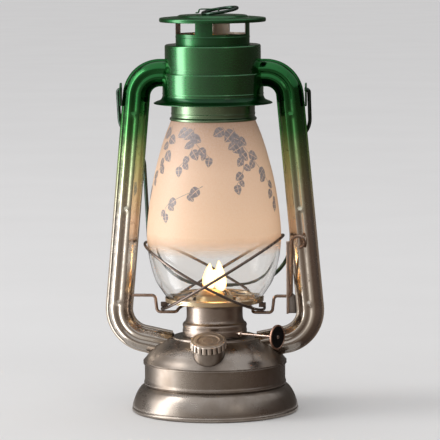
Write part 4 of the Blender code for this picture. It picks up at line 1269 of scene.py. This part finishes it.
# %% Rain cap
hood_top, hood_r = hood_high.z, hood_high.x
disc_z = hood_top - 0.0020
cap_rows = [Vector((0, hood_top)), Vector((0.0125, hood_top))]
cap_rows += softened([(0.0125, hood_top), (0.0262, hood_top - 0.0001, 0.0012), (0.0288, disc_z, 0.0014),
                      (0.0352, disc_z - 0.0001, 0.0006), (0.0358, disc_z + 0.0003, 0.0005),
                      (0.0366, disc_z - 0.0001, 0.0006), (hood_r, disc_z - 0.0002, 0.0014),
                      (hood_r, hood_low.z + 0.0006, 0.0005), (hood_r - 0.0006, hood_low.z)])[1:]
rain_cap = turned("rain_cap", sheet_metal(cap_rows))
finish_piece(rain_cap, hood_lacquer, "hood", ["hood_cap"])
print("rain cap", mm(2 * hood_r), "mm wide")

# %% [markdown]
# ## Chimney spring
# A loose coil round the chimney presses the hood and the globe down. Its upper end stays under
# the canopy's top while its lower end rises with the hood, so it is squeezed and not moved. A
# curve with a round bevel gives the wire, and it is turned into a mesh because only a mesh can be
# squeezed by a joint.

# %% Chimney spring
spring_low, spring_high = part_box("chimney_spring")
spring_wire_r = 0.0006
spring_r = spring_high.x - spring_wire_r
coil_turns, coil_steps = 4, 40
rise = spring_high.z - spring_low.z - 2 * spring_wire_r
coil = []
for step in range(coil_turns * coil_steps + 1):
    angle = 2 * math.pi * step / coil_steps
    coil.append((spring_r * math.cos(angle), spring_r * math.sin(angle),
                 spring_low.z + spring_wire_r + rise * step / (coil_turns * coil_steps)))
coil_curve = wire("coil_curve", coil, spring_wire_r, sides=3)
collection.objects.link(coil_curve)
bpy.context.view_layer.update()
graph = bpy.context.evaluated_depsgraph_get()
coil_shape = bpy.data.meshes.new_from_object(coil_curve.evaluated_get(graph))
bpy.data.objects.remove(coil_curve)
spring = bpy.data.objects.new("chimney_spring_wound", coil_shape)
finish_piece(spring, drawn_wire, "lamp", ["chimney_spring"])
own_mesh(spring)

# %% [markdown]
# ## Strap, lift ring and ears
# A bent strap holds the lift ring on the cap, and the bail's ends hook through a rounded ear on
# each tube. Blocks cut to shape would do from afar. Flat pieces are outlines with a thickness and
# a small bevel instead, because a cut edge with no bevel never catches light.

# %% Strap
def thick_sheet(name, points, faces, thickness):
    """A smooth surface that a Solidify modifier gives its thickness."""
    data = bpy.data.meshes.new(name)
    data.from_pydata(points, [], faces)
    data.shade_smooth()
    item = bpy.data.objects.new(name, data)
    body = item.modifiers.new("Sheet", "SOLIDIFY")
    body.thickness = thickness
    body.offset = -1
    return item


def bent_sheet(name, path, half_width, thickness=0.0008):
    """A sheet bent along a path in the XZ plane, with rounded edges."""
    points = [(spot.x, y, spot.z) for spot in path for y in (-half_width, half_width)]
    faces = [(2 * i, 2 * i + 1, 2 * i + 3, 2 * i + 2) for i in range(len(path) - 1)]
    item = thick_sheet(name, points, faces, thickness)
    edge = item.modifiers.new("Edge", "BEVEL")
    edge.width = 0.0002
    edge.segments = 2
    edge.limit_method = "ANGLE"
    return item


strap_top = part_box("ring_strap")[1].z
strap_low = hood_top + 0.0003 + 0.0008
strap_path = bent([((-0.0130, 0, strap_low), 0), ((-0.0106, 0, strap_low), 0.0009),
                   ((-0.0098, 0, strap_top), 0.0010), ((0.0042, 0, strap_top), 0.0010),
                   ((0.0050, 0, strap_low), 0.0009), ((0.0074, 0, strap_low), 0)], 5)
strap = bent_sheet("ring_strap_bent", strap_path, 0.0030)
finish_piece(strap, hood_lacquer, "hood", ["ring_strap"])
print("strap", mm(strap_top - strap_low), "mm high")

# %% Lift ring
ring_pivot = Vector((-0.0075, 0, 0.3102))
ring_middle_r, ring_wire_r = 0.0135, 0.00125
ring_path = [(x, y, 0) for x, y in circle(ring_middle_r, 72, ring_middle_r)]
ring = wire("lift_ring_bent", ring_path, ring_wire_r, True)
ring.matrix_world = (Matrix.Translation(ring_pivot) @ Matrix.Rotation(math.radians(5), 4, "X")
                     @ Matrix.Rotation(math.radians(-8), 4, "Y"))
finish_piece(ring, dark_green_wire, "ring", ["lift_ring"])
print("ring", mm(2 * ring_middle_r), "mm wide")

# %% Ears
bail_pivot_z = 0.2510
ear_hole_r = 0.0018
for side, name in ((-1, "ear_left"), (1, "ear_right")):
    ear_low, ear_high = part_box(name)
    outline = softened([(0, -0.0130), (0.0046, -0.0130, 0.0042), (0.0046, 0.0050, 0.0046), (0, 0.0050)], 8)
    outline += [Vector((-spot.x, spot.y)) for spot in outline[::-1][1:-1]]
    ear = filled_outline(name + "_plate", [outline, circle(ear_hole_r, 24)], 0.0007)
    ear.data.bevel_depth = 0.00015
    ear.data.offset = -0.00015
    ear.location = ((ear_low.x + ear_high.x) / 2, 0, bail_pivot_z)
    ear.rotation_euler = (math.radians(90), 0, math.radians(90))
    finish_piece(ear, hood_lacquer, "lamp", [name])
print("ears at", mm(bail_pivot_z), "mm")

# %% [markdown]
# ## Bail
# The bail is one long wire. Its legs run straight down from the ears and draw in towards its arc.
# The piece is drawn hanging straight down and then leant back, which is how it hangs at rest.

# %% Bail
bail_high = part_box("bail")[1]
leg_x = bail_high.x - 0.0015
bail_in_x, bail_length = 0.0570, 0.1720
half = [((leg_x - 0.0034, 0, 0), 0), ((leg_x, 0, 0), 0.0025), ((leg_x, 0, -0.0300), 0.020),
        ((bail_in_x, 0, -0.0600), 0.020), ((bail_in_x, 0, -bail_length), 0.044)]
bail_path = bent([((-x, y, z), r) for (x, y, z), r in half] + half[::-1], 14)
bail = wire("bail_bent", bail_path, 0.0015)
bail.matrix_world = (Matrix.Translation((0, 0, bail_pivot_z))
                     @ Matrix.Rotation(math.asin(0.0588 / bail_length), 4, "X"))
finish_piece(bail, dark_green_wire, "handle", ["bail"])
print("bail legs at", mm(leg_x), "mm")

# %% [markdown]
# ## Lift lever
# One bent wire makes the pivots, the half ring that lifts the globe plate from behind, and the
# thumb lever at the right, which ends in an open eye. It could be joined from several wires; one
# path through all its corners bends like the real one, with no joint to hide.

# %% Lever
crank_r, crank_z = 0.0012, plate_z + 0.0055
half_ring_r, eye_r, bend_r = 0.0300, 0.0048, 0.0030
under_z = plate_z + 0.0011 * (half_ring_r - 0.0252) / (plate_r - 0.0252)
ring_top = under_z - 0.0003 - crank_r - crank_z
dip = plate_z - 0.0075 - crank_z
left_end = tube_corner_x + (tube_top_z - crank_z) * math.tan(leg_lean) - half_w + 0.0010
left = [((-left_end, 0, 0), 0), ((-0.0468, 0, 0), bend_r), ((-0.0452, 0, dip), bend_r),
        ((-half_ring_r, 0, dip), bend_r)]
behind = []
for step in range(31):
    angle = math.radians(170 - 160 * step / 30)
    behind.append(((half_ring_r * math.cos(angle), half_ring_r * math.sin(angle),
                    dip + (ring_top - dip) * math.sin(angle)), 0))
right = [((half_ring_r, 0, dip), bend_r), ((0.0452, 0, dip), bend_r), ((0.0468, 0, 0), bend_r),
         ((0.0602, 0, 0), bend_r)]
lever_top = Vector((0.0618, -0.0120, 0.0494 - 0.0055))
up = Vector((0, lever_top.y, lever_top.z)).normalized()
eye = []
for step in range(25):
    angle = math.radians(180 - 265 * step / 24)
    aside = Vector((eye_r + eye_r * math.cos(angle), 0, 0))
    eye.append((lever_top + aside + up * eye_r * math.sin(angle), 0))
lever = wire("lift_lever_bent", bent(left + behind + right + eye, 6), crank_r)
lever.location = (0, 0, crank_z)
lever_wire = worked_metal("lever_wire", (0.44, 0.31, 0.24), (0.22, 0.15, 0.11), 0.24, cloud=90.0)
finish_piece(lever, lever_wire, "crank", ["lift_crank"])
print("lever eye at", [mm(v) for v in lever_top], "mm")

# %% [markdown]
# ## Lever bracket
# The bracket is a folded sheet whose edge follows the leaning tube. Rows of points are laid from
# its foot to its top, each with its own fold, and Solidify gives the sheet its thickness.

# %% Bracket
bracket_low, bracket_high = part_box("lever_bracket")
seam_bend_r = 0.0146
bend_z = tube_foot_z + 0.0240 * math.tan((math.pi / 2 - math.radians(12) + leg_lean) / 2)
rows = []
for step in range(41):
    z = bracket_low.z + (bracket_high.z - bracket_low.z) * step / 40
    inward = seam_bend_r - math.sqrt(seam_bend_r ** 2 - max(bend_z - z, 0) ** 2)
    seam_x = tube_corner_x + (tube_top_z - z) * math.tan(leg_lean) - half_w / math.cos(leg_lean) - inward
    strip = min(max((step - 9) / 3, 0), 1)
    outer_x = seam_x + (0.0600 - seam_x) * strip
    plate_y = 0.0023 - 0.0021 * strip
    fold = softened([(outer_x, plate_y), (0.0582 + 0.0013 * strip, plate_y, 0.0005), (0.0566, -0.0030)], 4)
    rows.append([(spot.x, spot.y, z) for spot in fold])
points = [point for row in rows for point in row]
width = len(rows[0])
faces = [(r * width + c, r * width + c + 1, (r + 1) * width + c + 1, (r + 1) * width + c)
         for r in range(40) for c in range(width - 1)]
bracket = thick_sheet("lever_bracket_sheet", points, faces, 0.0007)
bracket.data.set_sharp_from_angle(angle=math.radians(45))
bracket_tin = worked_metal("bracket_tin", (0.50, 0.47, 0.45), (0.32, 0.28, 0.26), 0.42)
finish_piece(bracket, bracket_tin, "lamp", ["lever_bracket"])
# Painted highlight: the slanted flange's faces get a pale copper finish, so the bracket's edge shows as a
# bright strip.
flange_highlight = worked_metal("flange_highlight", (0.85, 0.72, 0.64), (0.55, 0.42, 0.34), 0.30)
second_look(bracket, flange_highlight, lambda face: face.center.x < 0.0590 and abs(face.normal.x) > 0.3)
print("bracket", mm(bracket_high.z - bracket_low.z), "mm high")

# %% [markdown]
# ## Pieces that keep their plain shape
# What is hidden inside the burner, canopy and tank keeps the shape of the working model, and only
# gets a finish.

# %% Finishes of the hidden pieces
rubber, shader = start_finish("gasket_rubber", (0.03, 0.03, 0.03), 0.8)
place = place_on_piece(rubber)
join(rubber, stretch(rubber, noise(rubber, place, 300.0), 0.3, 0.7, 0.65, 0.9), shader.inputs["Roughness"])
kept = {"tank_floor": tin, "burner_base": tin, "wick_tube": brass, "wick_wheel_a": brass,
        "wick_wheel_b": brass, "guard_clip_left": drawn_wire, "guard_clip_right": drawn_wire,
        "canopy_floor": hood_lacquer, "filler_gasket": rubber}
for node, look in kept.items():
    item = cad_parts[node]
    if not item.material_slots:
        item.data.materials.append(look)
    for place_for in item.material_slots:
        place_for.material = look
print("kept:", ", ".join(sorted(kept)))

# %% [markdown]
# ## Flame
# The wick burns with two soft lobes, flat across the wick. A volume would look finer, but takes
# long to render. They are drop-shaped meshes with an emission shader instead: pale yellow, nearly
# white in the middle, orange at its edge and clear blue at its root. Its brightness fades where
# the surface turns away from the eye, which Layer Weight measures.

# %% Flame
flame_low = wick_high.z - 0.0010
points, faces = [], []
around, levels = 40, 26
for across, rise, widest in ((-0.0056, 0.0225, 0.0060), (0.0056, 0.0250, 0.0058)):
    first = len(points)
    for level in range(levels + 1):
        share = level / levels
        r = widest * math.sin(math.pi * share ** 0.62) ** 0.85 if 0 < level < levels else 0
        lean = 0.0012 * share * share * (1 if across < 0 else -1)
        for step in range(around):
            angle = 2 * math.pi * step / around
            points.append((across + lean + r * math.cos(angle), 0.50 * r * math.sin(angle),
                           flame_low + rise * share))
    for level in range(levels):
        for step in range(around):
            here, after = first + level * around + step, first + level * around + (step + 1) % around
            faces.append((here, after, after + around, here + around))
flame = smooth_mesh("flame", points, faces, 80)
flame.rotation_euler.z = wick_turn

fire, shader = start_finish("flame_light", (1.0, 0.75, 0.35), 1.0)
facing = add(fire, "LayerWeight", [("Blend", 0.35)]).outputs["Facing"]
height = height_at(fire, place_on_piece(fire))
low_blue = stretch(fire, height, flame_low + 0.0005, flame_low + 0.0045, 0.0, 1.0)
warm = ramp(fire, facing, [(0.0, (1.0, 0.82, 0.46)), (0.5, (1.0, 0.68, 0.28)), (1.0, (1.0, 0.40, 0.10))])
join(fire, mixed(fire, low_blue, (0.55, 0.42, 0.38), warm), shader.inputs["Emission Color"])
join(fire, stretch(fire, facing, 0.0, 1.0, 2.6, 1.3), shader.inputs["Emission Strength"])
join(fire, stretch(fire, facing, 0.25, 0.95, 1.0, 0.08), shader.inputs["Alpha"])
finish_piece(flame, fire, "wick_strip")
print("flame from", mm(flame_low), "mm, two lobes")

# %% [markdown]
# ## Floor
# The lamp stands on a pale ground that runs out of sight. A wide disc with a faint mottle is
# enough. It doesn't shine, because a glossy floor would mirror the screens that come later.

# %% Floor
floor_r, floor_z = 16, -0.0002
floor_finish, shader = start_finish("pale_floor", (0.78, 0.765, 0.745), 0.75, Specular_IOR_Level=0)
place = place_on_piece(floor_finish)
speck = noise(floor_finish, place, 6.0, 4.0)
join(floor_finish, mixed(floor_finish, stretch(floor_finish, speck, 0.3, 0.7, 0.0, 1.0),
                         (0.775, 0.76, 0.74), (0.795, 0.78, 0.76)),
     shader.inputs["Base Color"])
form = bmesh.new()
bmesh.ops.create_circle(form, cap_ends=True, segments=96, radius=floor_r)
data = bpy.data.meshes.new("floor")
form.to_mesh(data)
form.free()
floor = bpy.data.objects.new("floor", data)
floor.location.z = floor_z
floor.data.materials.append(floor_finish)
bpy.context.scene.collection.objects.link(floor)
print("floor", floor_r, "m in radius")

# %% [markdown]
# ## Window light
# A large cool window lights the lamp from the left, and a small warm one from the right front. A
# sun lamp would give hard shadows, while area lights are soft and leave long glints on metal.

# %% Windows
def window_light(name, place, aim, width, height, watts, colour):
    data = bpy.data.lights.new(name, "AREA")
    data.shape = "RECTANGLE"
    data.size, data.size_y = width, height
    data.energy = watts
    data.color = colour
    item = bpy.data.objects.new(name, data)
    item.location = place
    item.rotation_euler = (Vector(aim) - Vector(place)).to_track_quat("-Z", "Y").to_euler()
    bpy.context.scene.collection.objects.link(item)
    item.visible_camera = False


window_light("left_window", (-3.30, -0.82, 1.60), (0, 0, 0.15), 1.70, 3.0, 64.0, (0.97, 0.98, 1.0))
window_light("right_window", (1.15, -1.40, 0.70), (0, 0, 0.15), 0.35, 1.1, 1.3, (1.0, 0.93, 0.82))
print("two windows")

# %% [markdown]
# ## Light from the flame
# The flame's mesh glows, but it is so small that it lights little and adds noise. A small point
# lamp inside the globe gives its light more cleanly.

# %% Flame's own light
data = bpy.data.lights.new("flame_lamp", "POINT")
data.energy = 0.22
data.shadow_soft_size = 0.004
data.color = (1.0, 0.62, 0.30)
flame_lamp = bpy.data.objects.new("flame_lamp", data)
flame_lamp.location = (0, 0, flame_low + 0.0130)
flame_lamp.visible_camera = False
bpy.context.scene.collection.objects.link(flame_lamp)
flame.visible_shadow = False
print("flame lamp of", flame_lamp.data.energy, "W")

# %% [markdown]
# ## World
# The room's even light comes from the world: a pale grey that is brighter at the left, where the
# window is, and above. A picture of a real room could do this; a few nodes do it without a file.

# %% World
world = bpy.data.worlds.new("studio")
world.use_nodes = True
bpy.context.scene.world = world
sky = world.node_tree.nodes["Background"]
way = add(world, "SeparateXYZ", [(0, add(world, "TexCoord").outputs["Generated"])])
sideways = stretch(world, way.outputs["X"], -0.9, 0.9, 0.70, 0.36)
upward = add(world, "Math", [(0, way.outputs["Z"]), (1, 0.40), (2, sideways)], operation="MULTIPLY_ADD")
join(world, upward.outputs[0], sky.inputs["Strength"])
sky.inputs["Color"].default_value = (0.96, 0.97, 1.0, 1)
print("world:", world.name)

# %% [markdown]
# ## What the metal reflects
# Bare metal and lacquer look like what stands round them, so this decides how the lamp looks.
# Three curved screens stand for a dim room and one bright screen for its window. Only reflections
# see them: they cast no light and no shadow, and don't show through the glass. Real walls would
# do the same, but would also block the windows' light.

# %% Screens for reflections
screen_foot_z = 0.0012


def reflected_screen(name, inner_r, radius, high_z, strength, stops):
    """A curved screen that only reflections see. It lies on the floor from its inner radius and
    stands up at its outer one. The stops give its colour at angles from the camera's side,
    positive to the right, in degrees."""
    first, last = stops[0][0], stops[-1][0]
    points, faces = [], []
    steps = 72
    for step in range(steps + 1):
        turn = math.radians(first + (last - first) * step / steps)
        way = towards_camera * math.cos(turn) + to_the_right * math.sin(turn)
        for out, z in ((inner_r, screen_foot_z), (radius, screen_foot_z), (radius, high_z)):
            points.append((way.x * out, way.y * out, z))
    for step in range(steps):
        for row in range(2):
            low = 3 * step + row
            faces.append((low, low + 3, low + 4, low + 1))
    finish, shader = start_finish(name + "_finish", (0.01, 0.01, 0.01), 0.9, Emission_Strength=strength)
    apart = add(finish, "SeparateXYZ", [("Vector", place_on_piece(finish))])
    back = add(finish, "Math", [(0, apart.outputs["Y"]), (1, -1.0)], operation="MULTIPLY")
    angle = add(finish, "Math", [(0, apart.outputs["X"]), (1, back.outputs[0])], operation="ARCTAN2")
    turned_by = math.atan2(towards_camera.x, -towards_camera.y)
    share = stretch(finish, angle.outputs[0], math.radians(first) + turned_by,
                    math.radians(last) + turned_by, 0.0, 1.0)
    colours = [((at - first) / (last - first), colour) for at, colour in stops]
    join(finish, ramp(finish, share, colours), shader.inputs["Emission Color"])
    screen = smooth_mesh(name, points, faces)
    screen.data.materials.append(finish)
    bpy.context.scene.collection.objects.link(screen)
    screen.visible_camera = False
    screen.visible_diffuse = False
    screen.visible_transmission = False
    screen.visible_shadow = False


print("a screen has a foot at", screen_foot_z, "m")

# %% Screens round the lamp
reflected_screen("room_at_the_right", 0.09, 1.20, 0.60, 1.0, [
    (-64, (1.30, 1.27, 1.22)), (-50, (0.66, 0.62, 0.58)), (-32, (0.38, 0.34, 0.31)),
    (0, (0.24, 0.205, 0.18)), (35, (0.16, 0.125, 0.10)),
    (60, (0.10, 0.065, 0.048)), (95, (0.06, 0.040, 0.032)), (125, (0.05, 0.040, 0.035))])
reflected_screen("room_behind", 0.12, 1.25, 1.60, 1.0, [
    (125, (0.05, 0.040, 0.035)), (173.5, (0.07, 0.065, 0.06))])
reflected_screen("room_at_the_back", 0.12, 1.25, 1.60, 1.0, [
    (-185.5, (0.07, 0.065, 0.06)), (-150, (0.11, 0.10, 0.09)), (-118, (0.14, 0.12, 0.11)),
    (-104, (0.50, 0.50, 0.50))])
reflected_screen("window_glint", 0.12, 1.10, 1.60, 5.6, [
    (-96, (0.50, 0.50, 0.52)), (-88, (1.0, 1.0, 1.0)), (-76, (1.0, 1.0, 1.0)), (-64, (0.12, 0.12, 0.12))])
print("three dim screens and a bright one")
